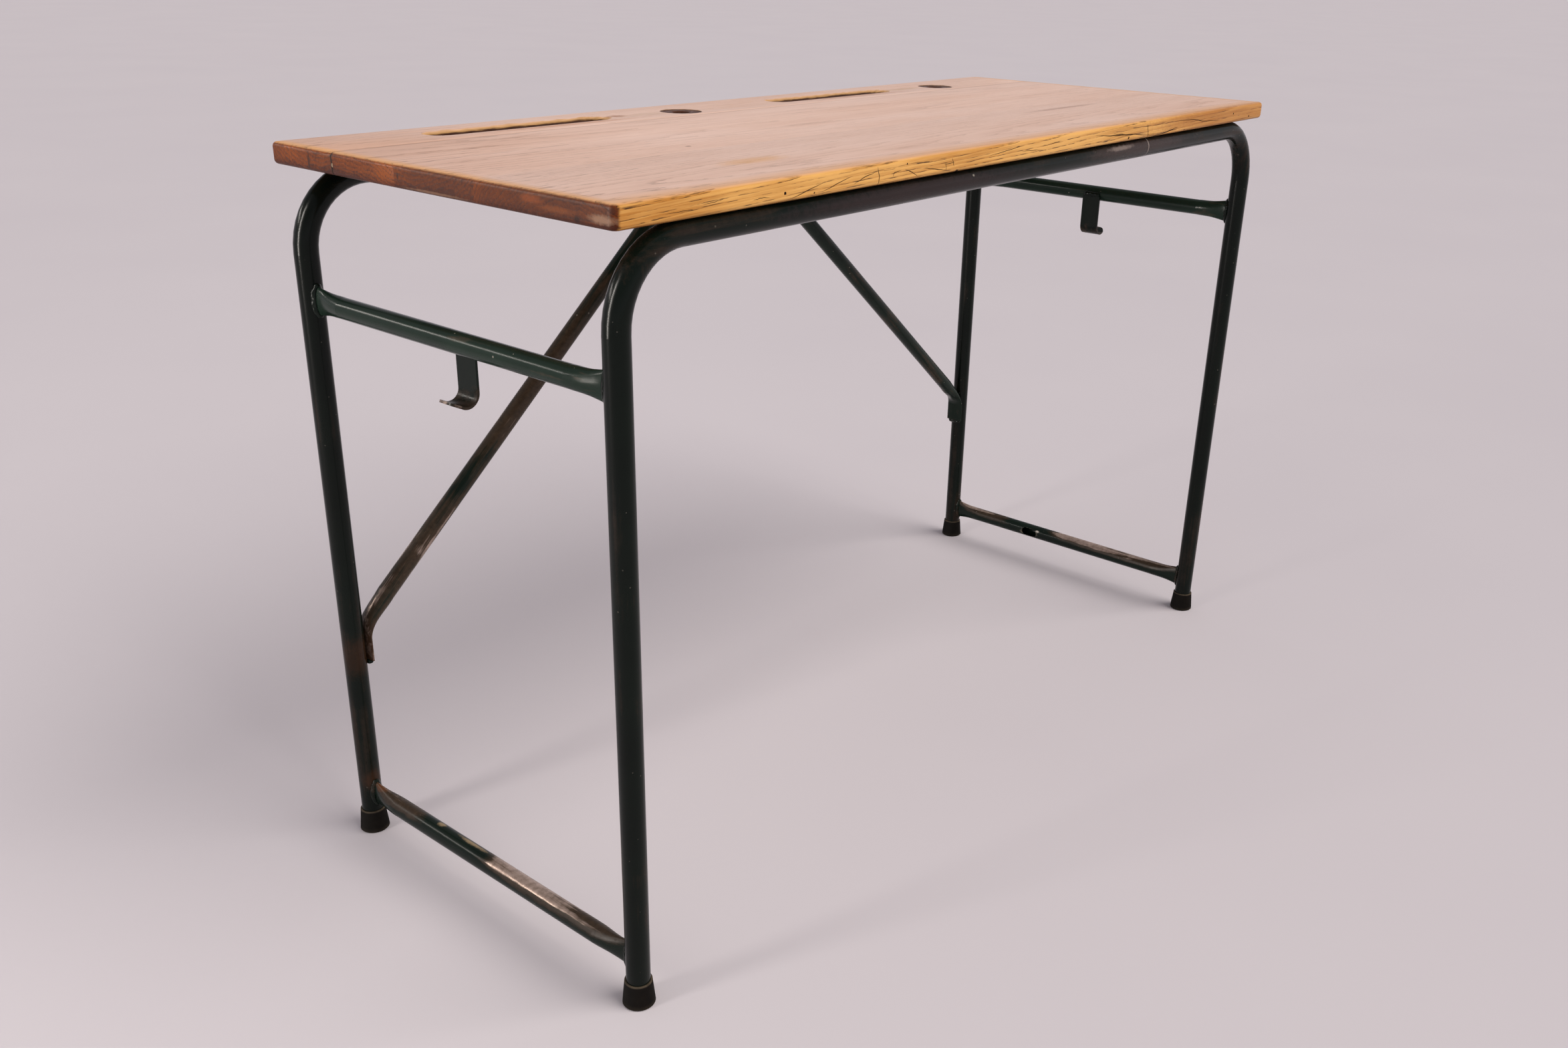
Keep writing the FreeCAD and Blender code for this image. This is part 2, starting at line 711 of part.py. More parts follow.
def hook(label, side, y):
    """A satchel hook bent from flat strip, its tip outwards. Local X points to the tip."""
    body = new_body(label)
    turn = 180 if side == "left" else 0
    body.Placement = FreeCAD.Placement(Vector(), FreeCAD.Rotation(UP, turn))
    bind(body, at_x=f"{SIGNS[side]}hook_strap_x", at_y=y, at_z="hook_top")
    path = new_sketch(body, f"{label}_path", "XZ_Plane")
    bend = "hook_bend_radius"
    strap = "(hook_drop - hook_lap)"
    end_x = f"{bend} - {bend} * cos(hook_turn)"
    end_z = f"-{strap} - {bend} * sin(hook_turn)"
    draw(path, [("0", "0"), ("0", f"-{strap}"), (end_x, end_z),
                (f"{end_x} + hook_lip * sin(hook_turn)", f"{end_z} - hook_lip * cos(hook_turn)")],
         arcs={1: (bend, f"-{strap}")}, closed=False)
    section = new_sketch(body, f"{label}_section", "XY_Plane")
    half_thick, half_wide = "hook_thickness / 2", "hook_width / 2"
    draw(section, [(f"-{half_thick}", f"-{half_wide}"), (half_thick, f"-{half_wide}"),
                   (half_thick, half_wide), (f"-{half_thick}", half_wide)])
    strip = swept(body, section, path, f"{label}_strip")
    thick = value("hook_thickness")
    bounds = strip.Shape.BoundBox

    def through(edge):
        return len(edge.Vertexes) == 2 and abs(edge.Length - thick) < SAME_SHARE * thick

    strip = rounded(body, strip, f"{label}_tip", "hook_tip_radius",
                    lambda edge: through(edge) and edge.BoundBox.ZMax < bounds.Center.z
                    and abs(edge.CenterOfMass.x) > value(bend))
    rounded(body, strip, f"{label}_top_corners", "hook_top_radius",
            lambda edge: through(edge) and edge.BoundBox.ZMin > bounds.ZMax - thick)
    return body


left_hook = hook("left_hook", "left", "left_hook_y")
right_hook = hook("right_hook", "right", "right_hook_y")


# Along a weld bead, from the leg to where it dies out on the tube: how far, and how proud it is
SWELL_SHARES = ((0, 1), (0.7, 0.8), (1.2, 0.35), (1.7, -0.5))


def rail_collar(tail):
    """The bead around one end of the rail stock, in the stock's own place."""
    sections = []
    for number, (way, swell) in enumerate(SWELL_SHARES):
        along = f"{way} * weld_bead"
        if tail == "rear":
            along = f"rail_reach - {along}"
        sections.append(oval(f"{tail}_collar_{number}", f"rail_flare_height + {2 * swell} * weld_bead",
                             f"rail_flare_thickness + {2 * swell} * weld_bead", at_z=along))
    return loft(f"{tail}_collar", sections)


collars = {tail: rail_collar(tail) for tail in ("front", "rear")}


def rail_welds(side, kind):
    """A bead around each end of a rail, where it meets the leg."""
    beads = []
    for row, collar in collars.items():
        name = f"{side}_{row}_{kind}_bead"
        blank = laid_along(collar, f"{name}_blank", SIDES[side], f"{kind}_height")
        beads.append(cut(name, blank, [leg_cores[side, row], rail_solids[f"{side}_{kind}"]]))
    return group(f"{side}_{kind}_welds", beads)


left_side_rail_welds = rail_welds("left", "side_rail")
right_side_rail_welds = rail_welds("right", "side_rail")
left_foot_rail_welds = rail_welds("left", "foot_rail")
right_foot_rail_welds = rail_welds("right", "foot_rail")

# The rear rail as a solid bar, which shapes the welds under it
rear_rail_core = make("Part::Cylinder", "rear_rail_core", Radius="tube_radius + weld_gap",
                      Height="2 * leg_x")
rear_rail_core.Placement = FreeCAD.Placement(Vector(), FreeCAD.Rotation(Vector(0, 1, 0), 90))
bind(rear_rail_core, at_x="-leg_x", at_y="rear_leg_y", at_z="frame_rail_height")


def run_of_weld(label, length, radius, x, y, z):
    """A round-ended bar of weld that lies along Y."""
    body = new_body(label, at_x=x, at_y=y, at_z=z)
    outline = new_sketch(body, f"{label}_outline", "YZ_Plane")
    half = f"({length}) / 2"
    draw(outline, [(f"{half}", "0"), (f"{half} - {radius}", radius), (f"{radius} - {half}", radius),
                   (f"-{half}", "0")],
         arcs={0: (f"{half} - {radius}", "0"), 2: (f"{radius} - {half}", "0")})
    turned(body, outline, "H_Axis", f"{label}_bar")
    return body


# How far a run of weld lies out of the corner that it fills, as a share of its radius
WELD_OUT_SHARE = 0.4
out = f"{WELD_OUT_SHARE} * weld_bead"

# Each bead is kept clear of its tab by a block that stands where the tab is
block_reach = "(weld_bead + overrun)"
block_width = "brace_tab_width + 2 * overrun"
block_y = "rear_leg_y - brace_tab_width / 2 - overrun"
tab_end = "leg_x - brace_high_y - brace_tab_bend - brace_upper_tab_length"
head_z = f"frame_rail_height - tube_radius - weld_gap - {out}"
brace_beads = []
for side, sign in SIGNS.items():
    foot_x = f"{sign}(leg_x - tube_radius - {out})"
    foot_blank = run_of_weld(f"{side}_brace_foot_blank", "tube_diameter - weld_bead", "weld_bead",
                             foot_x, "rear_leg_y", f"brace_lower_tab_end - {out}")
    foot_block = box(f"{side}_brace_foot_block", f"2 * {block_reach}", block_width, block_reach,
                     foot_x, block_y, "brace_lower_tab_end")
    brace_beads.append(cut(f"{side}_brace_foot_bead", foot_blank, [leg_cores[side, "rear"], foot_block]))
    head_blank = run_of_weld(f"{side}_brace_head_blank", "tube_radius", "weld_bead",
                             f"{sign}({tab_end} - {out})", "rear_leg_y", head_z)
    head_block = box(f"{side}_brace_head_block", block_reach, block_width, f"2 * {block_reach}",
                     f"{sign}({tab_end} + {block_reach} / 2)", block_y, f"{head_z} - {block_reach}")
    brace_beads.append(cut(f"{side}_brace_head_bead", head_blank, [rear_rail_core, head_block]))
brace_welds = group("brace_welds", brace_beads)

hook_beads = []
for side, hook_body in (("left", left_hook), ("right", right_hook)):
    blank = run_of_weld(f"{side}_hook_blank", "hook_width - hook_top_radius", "weld_bead",
                        f"{SIGNS[side]}hook_strap_x", f"{side}_hook_y", f"hook_top + {out}")
    hook_beads.append(cut(f"{side}_hook_bead", blank, [rail_solids[f"{side}_side_rail"], hook_body]))
hook_welds = group("hook_welds", hook_beads)


def ferrule(label, x, y):
    """A rubber foot pushed over the end of a leg, which stands on its sole."""
    body = new_body(label, at_x=x, at_y=y)
    outline = new_sketch(body, f"{label}_outline", "XZ_Plane")
    foot = "ferrule_foot_diameter / 2"
    rim = "ferrule_rim_diameter / 2"
    bore = "tube_radius + ferrule_clearance"
    draw(outline, [
        ("0", "0"),
        (f"{foot} - ferrule_edge", "0"),
        (foot, "ferrule_edge"),
        (rim, "ferrule_height - ferrule_rim_edge"),
        (f"{rim} - ferrule_rim_edge", "ferrule_height"),
        (bore, "ferrule_height"),
        (bore, "ferrule_sole"),
        ("0", "ferrule_sole"),
    ])
    turned(body, outline, "V_Axis", f"{label}_cup")
    return body


ferrules = []
for row in ("front", "rear"):
    for side, x in SIDES.items():
        ferrules.append(ferrule(f"{row}_{side}_ferrule", x, f"{row}_leg_y"))


def top_screws(label, y):
    """Three round-headed wood screws. Their heads sit inside a rail, and they go up into the top."""
    body = new_body(label, at_x=f"{SCREW_PLACES[0]} * screw_pitch", at_y=y, at_z="screw_head_seat")
    body.AllowCompound = True
    outline = new_sketch(body, f"{label}_outline", "XZ_Plane")
    head = "screw_head_diameter / 2"
    tall = "screw_head_height"
    shank = "screw_diameter / 2"
    dome = f"((({head}) ^ 2 + {tall} ^ 2) / (2 * {tall}))"
    draw(outline, [("0", f"-{tall}"), (head, "0"), (shank, "0"), (shank, "screw_length - screw_point"),
                   ("0", "screw_length")], arcs={0: ("0", f"{dome} - {tall}")})
    screw = turned(body, outline, "V_Axis", f"{label}_blank")
    slot = new_sketch(body, f"{label}_slot", "XZ_Plane")
    half = "screw_slot_width / 2"
    deep = f"screw_slot_depth - {tall}"
    draw(slot, [(f"-{half}", f"-{tall} - overrun"), (half, f"-{tall} - overrun"), (half, deep),
                (f"-{half}", deep)])
    slot_cut = pocket(body, slot, f"{label}_slot_cut")
    row = body.newObject("PartDesign::LinearPattern", f"{label}_row")
    row.Originals = [screw, slot_cut]
    row.Direction = (origin_plane(body, "X_Axis"), [""])
    bind(row, Length=f"{SCREW_PLACES[-1] - SCREW_PLACES[0]} * screw_pitch")
    row.Occurrences = len(SCREW_PLACES)
    body.Tip = row
    doc.recompute()
    return body


front_screws = top_screws("front_screws", "front_leg_y")
rear_screws = top_screws("rear_screws", "rear_leg_y")

NODES = [
    front_board, middle_front_board, middle_back_board, back_board, board_tongues,
    left_inkwell, right_inkwell,
    front_frame, rear_frame,
    left_side_rail, right_side_rail, left_foot_rail, right_foot_rail,
    left_brace, right_brace, left_hook, right_hook,
    left_side_rail_welds, right_side_rail_welds, left_foot_rail_welds, right_foot_rail_welds,
    brace_welds, hook_welds,
    *ferrules, front_screws, rear_screws,
]

doc.recompute()
for thing in doc.Objects:
    if {"Invalid", "Error"} & set(thing.State):
        raise RuntimeError(f"{thing.Label} failed: {thing.State}")
for node in NODES:
    if node.Shape.isNull() or not node.Shape.isValid():
        raise RuntimeError(f"{node.Label} has no valid shape")

os.makedirs("parts", exist_ok=True)
for node in NODES:
    node.Shape.exportStep(f"parts/{node.Label}.step")
    print(f"{node.Label}: {len(node.Shape.Solids)} solids, {node.Shape.Volume / 1000:.2f} cm3")
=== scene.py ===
import json
import math
import random

import bmesh
import bpy
from mathutils import Matrix, Vector, noise

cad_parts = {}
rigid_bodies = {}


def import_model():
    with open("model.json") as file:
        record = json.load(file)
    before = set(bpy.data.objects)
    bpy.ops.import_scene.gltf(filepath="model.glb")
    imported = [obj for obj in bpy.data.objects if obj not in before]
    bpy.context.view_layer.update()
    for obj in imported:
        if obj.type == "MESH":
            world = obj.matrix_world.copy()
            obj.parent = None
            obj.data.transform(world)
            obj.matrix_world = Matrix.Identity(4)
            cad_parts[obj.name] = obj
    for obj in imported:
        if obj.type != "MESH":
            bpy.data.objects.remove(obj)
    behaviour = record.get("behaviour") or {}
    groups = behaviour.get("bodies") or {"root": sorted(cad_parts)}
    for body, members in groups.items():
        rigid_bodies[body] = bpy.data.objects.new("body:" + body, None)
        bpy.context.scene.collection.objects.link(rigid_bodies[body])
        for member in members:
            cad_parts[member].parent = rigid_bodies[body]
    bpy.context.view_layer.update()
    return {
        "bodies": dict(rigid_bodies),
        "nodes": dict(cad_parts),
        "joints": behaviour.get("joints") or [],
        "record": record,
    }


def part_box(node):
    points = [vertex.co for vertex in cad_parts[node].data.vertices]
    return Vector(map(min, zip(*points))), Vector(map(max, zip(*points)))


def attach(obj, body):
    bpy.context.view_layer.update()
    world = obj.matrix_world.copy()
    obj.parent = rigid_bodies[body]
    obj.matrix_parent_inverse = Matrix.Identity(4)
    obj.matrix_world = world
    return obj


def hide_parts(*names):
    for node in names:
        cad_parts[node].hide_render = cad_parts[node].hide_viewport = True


# An old school desk for two pupils: a top glued up from four boards, held by screws on a frame of
# painted steel tube. Metres. X runs along the desk from the left pupil to the right one, Y from the
# pupils' side to the back, and the floor is Z = 0.
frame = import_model()
nodes = frame["nodes"]


# The top. Four oak boards glued edge to edge, planed, waxed and then used for decades. The face is
# pale and pinkish from a painted reflection of the pale wall on the wax, the long edges are still honey
# yellow with open dark pores, and the sawn ends have soaked up grease and turned red-brown.
BACK_BOARD_LOW, BACK_BOARD_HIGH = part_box("back_board")
LEFT_X, RIGHT_X = BACK_BOARD_LOW.x, BACK_BOARD_HIGH.x
FRONT_Y, BACK_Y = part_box("front_board")[0].y, BACK_BOARD_HIGH.y
UNDERSIDE_Z, TOP_Z = BACK_BOARD_LOW.z, BACK_BOARD_HIGH.z
BACK_JOINT_Y = BACK_BOARD_LOW.y
# the middle line of the pen grooves, and how far they reach to either side of it
GROOVE_Y = BACK_Y - 0.052
GROOVE_HALF_WIDTH = 0.0205
INKWELL_HOLE_RADIUS = 0.0254
RING_WIDTH = 0.0042
# pores are drawn about three times as coarse as oak's, so that they show
PORE_WIDTH = 0.0008
PORE_LENGTH = 0.014
FIBRE_WIDTH = 0.0024
FIBRE_LENGTH = 0.07
PATCH_WIDTH = 0.07
PATCH_LENGTH = 0.33
GRAIN_STRETCH = 0.055
# where each of these begins and is full: the darkening above the underside, the sawn end's colour and
# the golden rims with their painted highlight in from the ends and the front edge, and the stain beside
# the back board's joint
LOW_DARKENING_SPAN = (0.009, 0.001)
END_WRAP = (0.0045, 0.0025)
END_RIM_HIGHLIGHT = (0.016, 0.005)
FRONT_RIM_HIGHLIGHT = (0.03, 0.004)
JOINT_STAIN = (0.0035, 0.0006)

# the face's colours carry a painted reflection of the pale wall: pale and pinkish over the honey oak
FACE_PALE_SHEEN = "#dfc0b0"
FACE_DARK_SHEEN = "#c39e8a"
EDGE_PALE = "#d8a55c"
EDGE_DARK = "#ac7330"
END_PALE = "#934809"
END_DARK = "#481b04"
# a painted highlight on the rims, golden
RIM_GOLD_HIGHLIGHT = "#d29a5c"
GROOVE_LIP = "#d0a57c"
GROOVE_WALL_SHADE = "#ab8354"
PORE_DARK = "#38200e"
# dark brown for the stain beside the back board's joint, and for dirt and painted shade deep in the grooves
GRIME_AND_SHADE = "#3b2112"
INK_STAIN = "#160d0a"


def linear(colour):
    """An sRGB hex colour as the linear one that a shader takes."""
    shares = [int(colour[at:at + 2], 16) / 255 for at in (1, 3, 5)]
    return (*[s / 12.92 if s <= 0.04045 else ((s + 0.055) / 1.055) ** 2.4 for s in shares], 1)


def add(tree, kind, feeds=None, **settings):
    """A node with its settings. feeds gives an input a value, or links it to another node's output."""
    made = tree.nodes.new(kind)
    for name, setting in settings.items():
        setattr(made, name, setting)
    for name, feed in (feeds or {}).items():
        if isinstance(feed, bpy.types.NodeSocket):
            tree.links.new(feed, made.inputs[name])
        else:
            made.inputs[name].default_value = feed
    return made


def new_material(name):
    """A material with nothing in it, its tree, and the place that its patterns follow."""
    material = bpy.data.materials.new(name)
    material.use_nodes = True
    tree = material.node_tree
    tree.nodes.clear()
    place = add(tree, "ShaderNodeTexCoord").outputs["Object"]
    return material, tree, place


def show(tree, shader):
    """The shader as what the material's surface shows."""
    add(tree, "ShaderNodeOutputMaterial", {"Surface": shader.outputs["BSDF"]})


def marks_from(corner, rows):
    """Marks whose middles are counted from a corner. Each row has a middle and a reach along X, Y and
    Z, in millimetres, a colour and a strength."""
    return [
        (corner + Vector(middle) / 1000, Vector(reach) / 1000, paint, strength)
        for middle, reach, paint, strength in rows]


# how coarsely the outline of a mark is frayed
FRAY = 0.0053


def marked(tree, place, colour, marks):
    """The colour with ragged marks over it."""
    ragged = add(tree, "ShaderNodeTexNoise", {
        "Vector": place, "Scale": 1 / FRAY, "Detail": 5, "Roughness": 0.7}).outputs["Fac"]
    for middle, reach, paint, strength in marks:
        off = add(tree, "ShaderNodeVectorMath", {0: place, 1: middle}, operation="SUBTRACT").outputs[0]
        off = add(tree, "ShaderNodeVectorMath", {0: off, 1: reach}, operation="DIVIDE").outputs[0]
        away = add(tree, "ShaderNodeVectorMath", {0: off}, operation="LENGTH").outputs["Value"]
        away = add(tree, "ShaderNodeMath", {
            0: ragged, 1: 1.1, 2: away}, operation="MULTIPLY_ADD").outputs[0]
        share = add(tree, "ShaderNodeMapRange", {
            "Value": away, "From Min": 1.6, "From Max": 1.0, "To Max": strength}).outputs[0]
        colour = add(tree, "ShaderNodeMixRGB", {
            "Fac": share, "Color1": colour, "Color2": linear(paint)}).outputs[0]
    return colour


def dress(node, material):
    """A CAD node keeps its shape and takes a finish."""
    nodes[node].data.materials.clear()
    nodes[node].data.materials.append(material)


# the size of the blotches in a groove's dirt and painted shade, and how far up its walls they reach
BLOTCH_LENGTH = 0.0167
BLOTCH_WIDTH = 0.0033
BLOTCH_REACH = 0.0030
# how far below the face each tone of a groove begins and is full, and its colour. The darkening with
# depth is partly dirt and partly painted shade.
GROOVE_SHADE_TONES = ((0.0018, 0.0024, GROOVE_LIP), (0.0024, 0.0040, GROOVE_WALL_SHADE), (0.0040, 0.0052, GRIME_AND_SHADE))
# the same for the ink
INK_SPAN = (0.0003, 0.001)
# the grooves stop further than this from the ends of the top
END_MARGIN = 0.02


def groove_dirt_and_shade(tree, place, at, colour):
    """The walls of the pen grooves are orange and darken with depth, partly dirt in their bottoms and
    partly painted shade, and ink has stained the inkwell holes."""
    depth = add(tree, "ShaderNodeMath", {0: TOP_Z, 1: at["Z"]}, operation="SUBTRACT").outputs[0]
    across = add(tree, "ShaderNodeMath", {
        0: at["Y"], 1: GROOVE_Y, 2: GROOVE_HALF_WIDTH}, operation="COMPARE").outputs[0]
    along = add(tree, "ShaderNodeMath", {
        0: at["X"], 1: 0, 2: RIGHT_X - END_MARGIN}, operation="COMPARE").outputs[0]
    within = add(tree, "ShaderNodeMath", {0: across, 1: along}, operation="MULTIPLY").outputs[0]
    blotches = add(tree, "ShaderNodeMapping", {
        "Vector": place, "Scale": (1 / BLOTCH_LENGTH, 1 / BLOTCH_WIDTH, 1 / BLOTCH_WIDTH)}).outputs[0]
    blotches = add(tree, "ShaderNodeTexNoise", {"Vector": blotches, "Scale": 1, "Detail": 3}).outputs["Fac"]
    uneven = add(tree, "ShaderNodeMath", {
        0: blotches, 1: BLOTCH_REACH, 2: depth}, operation="MULTIPLY_ADD").outputs[0]
    for low, high, paint in GROOVE_SHADE_TONES:
        deep = add(tree, "ShaderNodeMapRange", {
            "Value": uneven, "From Min": low, "From Max": high}).outputs[0]
        share = add(tree, "ShaderNodeMath", {0: deep, 1: within}, operation="MULTIPLY").outputs[0]
        colour = add(tree, "ShaderNodeMixRGB", {
            "Fac": share, "Color1": colour, "Color2": linear(paint)}).outputs[0]
    flat = add(tree, "ShaderNodeCombineXYZ", {0: at["X"], 1: at["Y"]}).outputs[0]
    below = add(tree, "ShaderNodeMapRange", {
        "Value": depth, "From Min": INK_SPAN[0], "From Max": INK_SPAN[1], "To Max": 0.95}).outputs[0]
    for side in ("left", "right"):
        low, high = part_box(f"{side}_inkwell")
        axis = ((low.x + high.x) / 2, (low.y + high.y) / 2, 0)
        away = add(tree, "ShaderNodeVectorMath", {0: flat, 1: axis}, operation="DISTANCE").outputs["Value"]
        near = add(tree, "ShaderNodeMath", {
            0: away, 1: INKWELL_HOLE_RADIUS}, operation="LESS_THAN").outputs[0]
        share = add(tree, "ShaderNodeMath", {0: below, 1: near}, operation="MULTIPLY").outputs[0]
        colour = add(tree, "ShaderNodeMixRGB", {
            "Fac": share, "Color1": colour, "Color2": linear(INK_STAIN)}).outputs[0]
    return colour


def oak_grain(tree, place, pith, along, slope):
    """Year rings, the open pores in their early wood, long fibres and slow patches. pith is the middle
    of the tree that the board came from, in Y and Z, along shifts the pattern so that no two boards
    match, and slope is how the grain climbs along the board, in degrees."""
    sawn = add(tree, "ShaderNodeMapping", {
        "Vector": place, "Location": (along, 0, 0), "Rotation": (0, math.radians(slope), 0)}).outputs[0]
    grown = add(tree, "ShaderNodeMapping", {
        "Vector": sawn, "Location": (0, -pith[0], -pith[1]), "Scale": (GRAIN_STRETCH, 1, 1)}).outputs[0]
    rings = add(tree, "ShaderNodeTexWave", {
        "Vector": grown, "Scale": math.pi / 10 / RING_WIDTH, "Distortion": 11, "Detail": 3,
        "Detail Scale": 0.55, "Detail Roughness": 0.55},
        wave_type="RINGS", rings_direction="X", wave_profile="SAW").outputs["Fac"]
    pore_place = add(tree, "ShaderNodeMapping", {
        "Vector": sawn, "Scale": (1 / PORE_LENGTH, 1 / PORE_WIDTH, 1 / PORE_WIDTH)}).outputs[0]
    pore_noise = add(tree, "ShaderNodeTexNoise", {
        "Vector": pore_place, "Scale": 1, "Detail": 2, "Roughness": 0.5}).outputs["Fac"]
    pores = add(tree, "ShaderNodeMapRange", {
        "Value": pore_noise, "From Min": 0.50, "From Max": 0.60}).outputs[0]
    early = add(tree, "ShaderNodeMapRange", {
        "Value": rings, "From Min": 0.30, "From Max": 0.08}).outputs[0]
    open_pores = add(tree, "ShaderNodeMath", {0: pores, 1: early}, operation="MULTIPLY").outputs[0]
    fibre_place = add(tree, "ShaderNodeMapping", {
        "Vector": sawn, "Scale": (1 / FIBRE_LENGTH, 1 / FIBRE_WIDTH, 1 / FIBRE_WIDTH)}).outputs[0]
    fibres = add(tree, "ShaderNodeTexNoise", {
        "Vector": fibre_place, "Scale": 1, "Detail": 3, "Roughness": 0.6}).outputs["Fac"]
    patch_place = add(tree, "ShaderNodeMapping", {
        "Vector": place, "Location": (along, along, 0),
        "Scale": (1 / PATCH_LENGTH, 1 / PATCH_WIDTH, 1 / PATCH_WIDTH)}).outputs[0]
    patches = add(tree, "ShaderNodeTexNoise", {
        "Vector": patch_place, "Scale": 1, "Detail": 4, "Roughness": 0.6}).outputs["Fac"]
    return rings, open_pores, fibres, patches


def board_sides(tree, at):
    """How far the surface faces up, how far it faces down, and how far it belongs to a sawn end, whose
    colour wraps round the corner."""
    normal = add(tree, "ShaderNodeNewGeometry").outputs["Normal"]
    turned = add(tree, "ShaderNodeSeparateXYZ", {0: normal}).outputs
    faces_up = add(tree, "ShaderNodeMapRange", {
        "Value": turned["Z"], "From Min": 0.6, "From Max": 0.98},
        interpolation_type="SMOOTHSTEP").outputs[0]
    faces_down = add(tree, "ShaderNodeMapRange", {
        "Value": turned["Z"], "From Min": -0.6, "From Max": -0.95, "To Max": 0.75}).outputs[0]
    sideways = add(tree, "ShaderNodeMath", {0: turned["X"]}, operation="ABSOLUTE").outputs[0]
    faces_end = add(tree, "ShaderNodeMapRange", {
        "Value": sideways, "From Min": 0.12, "From Max": 0.5},
        interpolation_type="SMOOTHSTEP").outputs[0]
    from_middle = add(tree, "ShaderNodeMath", {0: at["X"]}, operation="ABSOLUTE").outputs[0]
    last = add(tree, "ShaderNodeMapRange", {
        "Value": from_middle, "From Min": RIGHT_X - END_WRAP[0],
        "From Max": RIGHT_X - END_WRAP[1]}).outputs[0]
    faces_end = add(tree, "ShaderNodeMath", {0: faces_end, 1: last}, operation="MAXIMUM").outputs[0]
    return faces_up, faces_down, faces_end


def rim_gold_and_highlight(tree, at):
    """Golden along the rims, where no sleeve rubs the wax, with a painted highlight on the arrises there.
    """
    from_middle = add(tree, "ShaderNodeMath", {0: at["X"]}, operation="ABSOLUTE").outputs[0]
    end_rim = add(tree, "ShaderNodeMapRange", {
        "Value": from_middle, "From Min": RIGHT_X - END_RIM_HIGHLIGHT[0],
        "From Max": RIGHT_X - END_RIM_HIGHLIGHT[1]}).outputs[0]
    front_rim = add(tree, "ShaderNodeMapRange", {
        "Value": at["Y"], "From Min": FRONT_Y + FRONT_RIM_HIGHLIGHT[0],
        "From Max": FRONT_Y + FRONT_RIM_HIGHLIGHT[1]}).outputs[0]
    rim = add(tree, "ShaderNodeMath", {0: end_rim, 1: front_rim}, operation="MAXIMUM").outputs[0]
    return add(tree, "ShaderNodeMath", {0: rim, 1: 0.75}, operation="MULTIPLY").outputs[0]


def joint_stain(tree, at):
    """A faint brown line follows the joint of the back board."""
    from_joint = add(tree, "ShaderNodeMath", {
        0: at["Y"], 1: BACK_JOINT_Y}, operation="SUBTRACT").outputs[0]
    from_joint = add(tree, "ShaderNodeMath", {0: from_joint}, operation="ABSOLUTE").outputs[0]
    return add(tree, "ShaderNodeMapRange", {
        "Value": from_joint, "From Min": JOINT_STAIN[0], "From Max": JOINT_STAIN[1],
        "To Max": 0.6}).outputs[0]


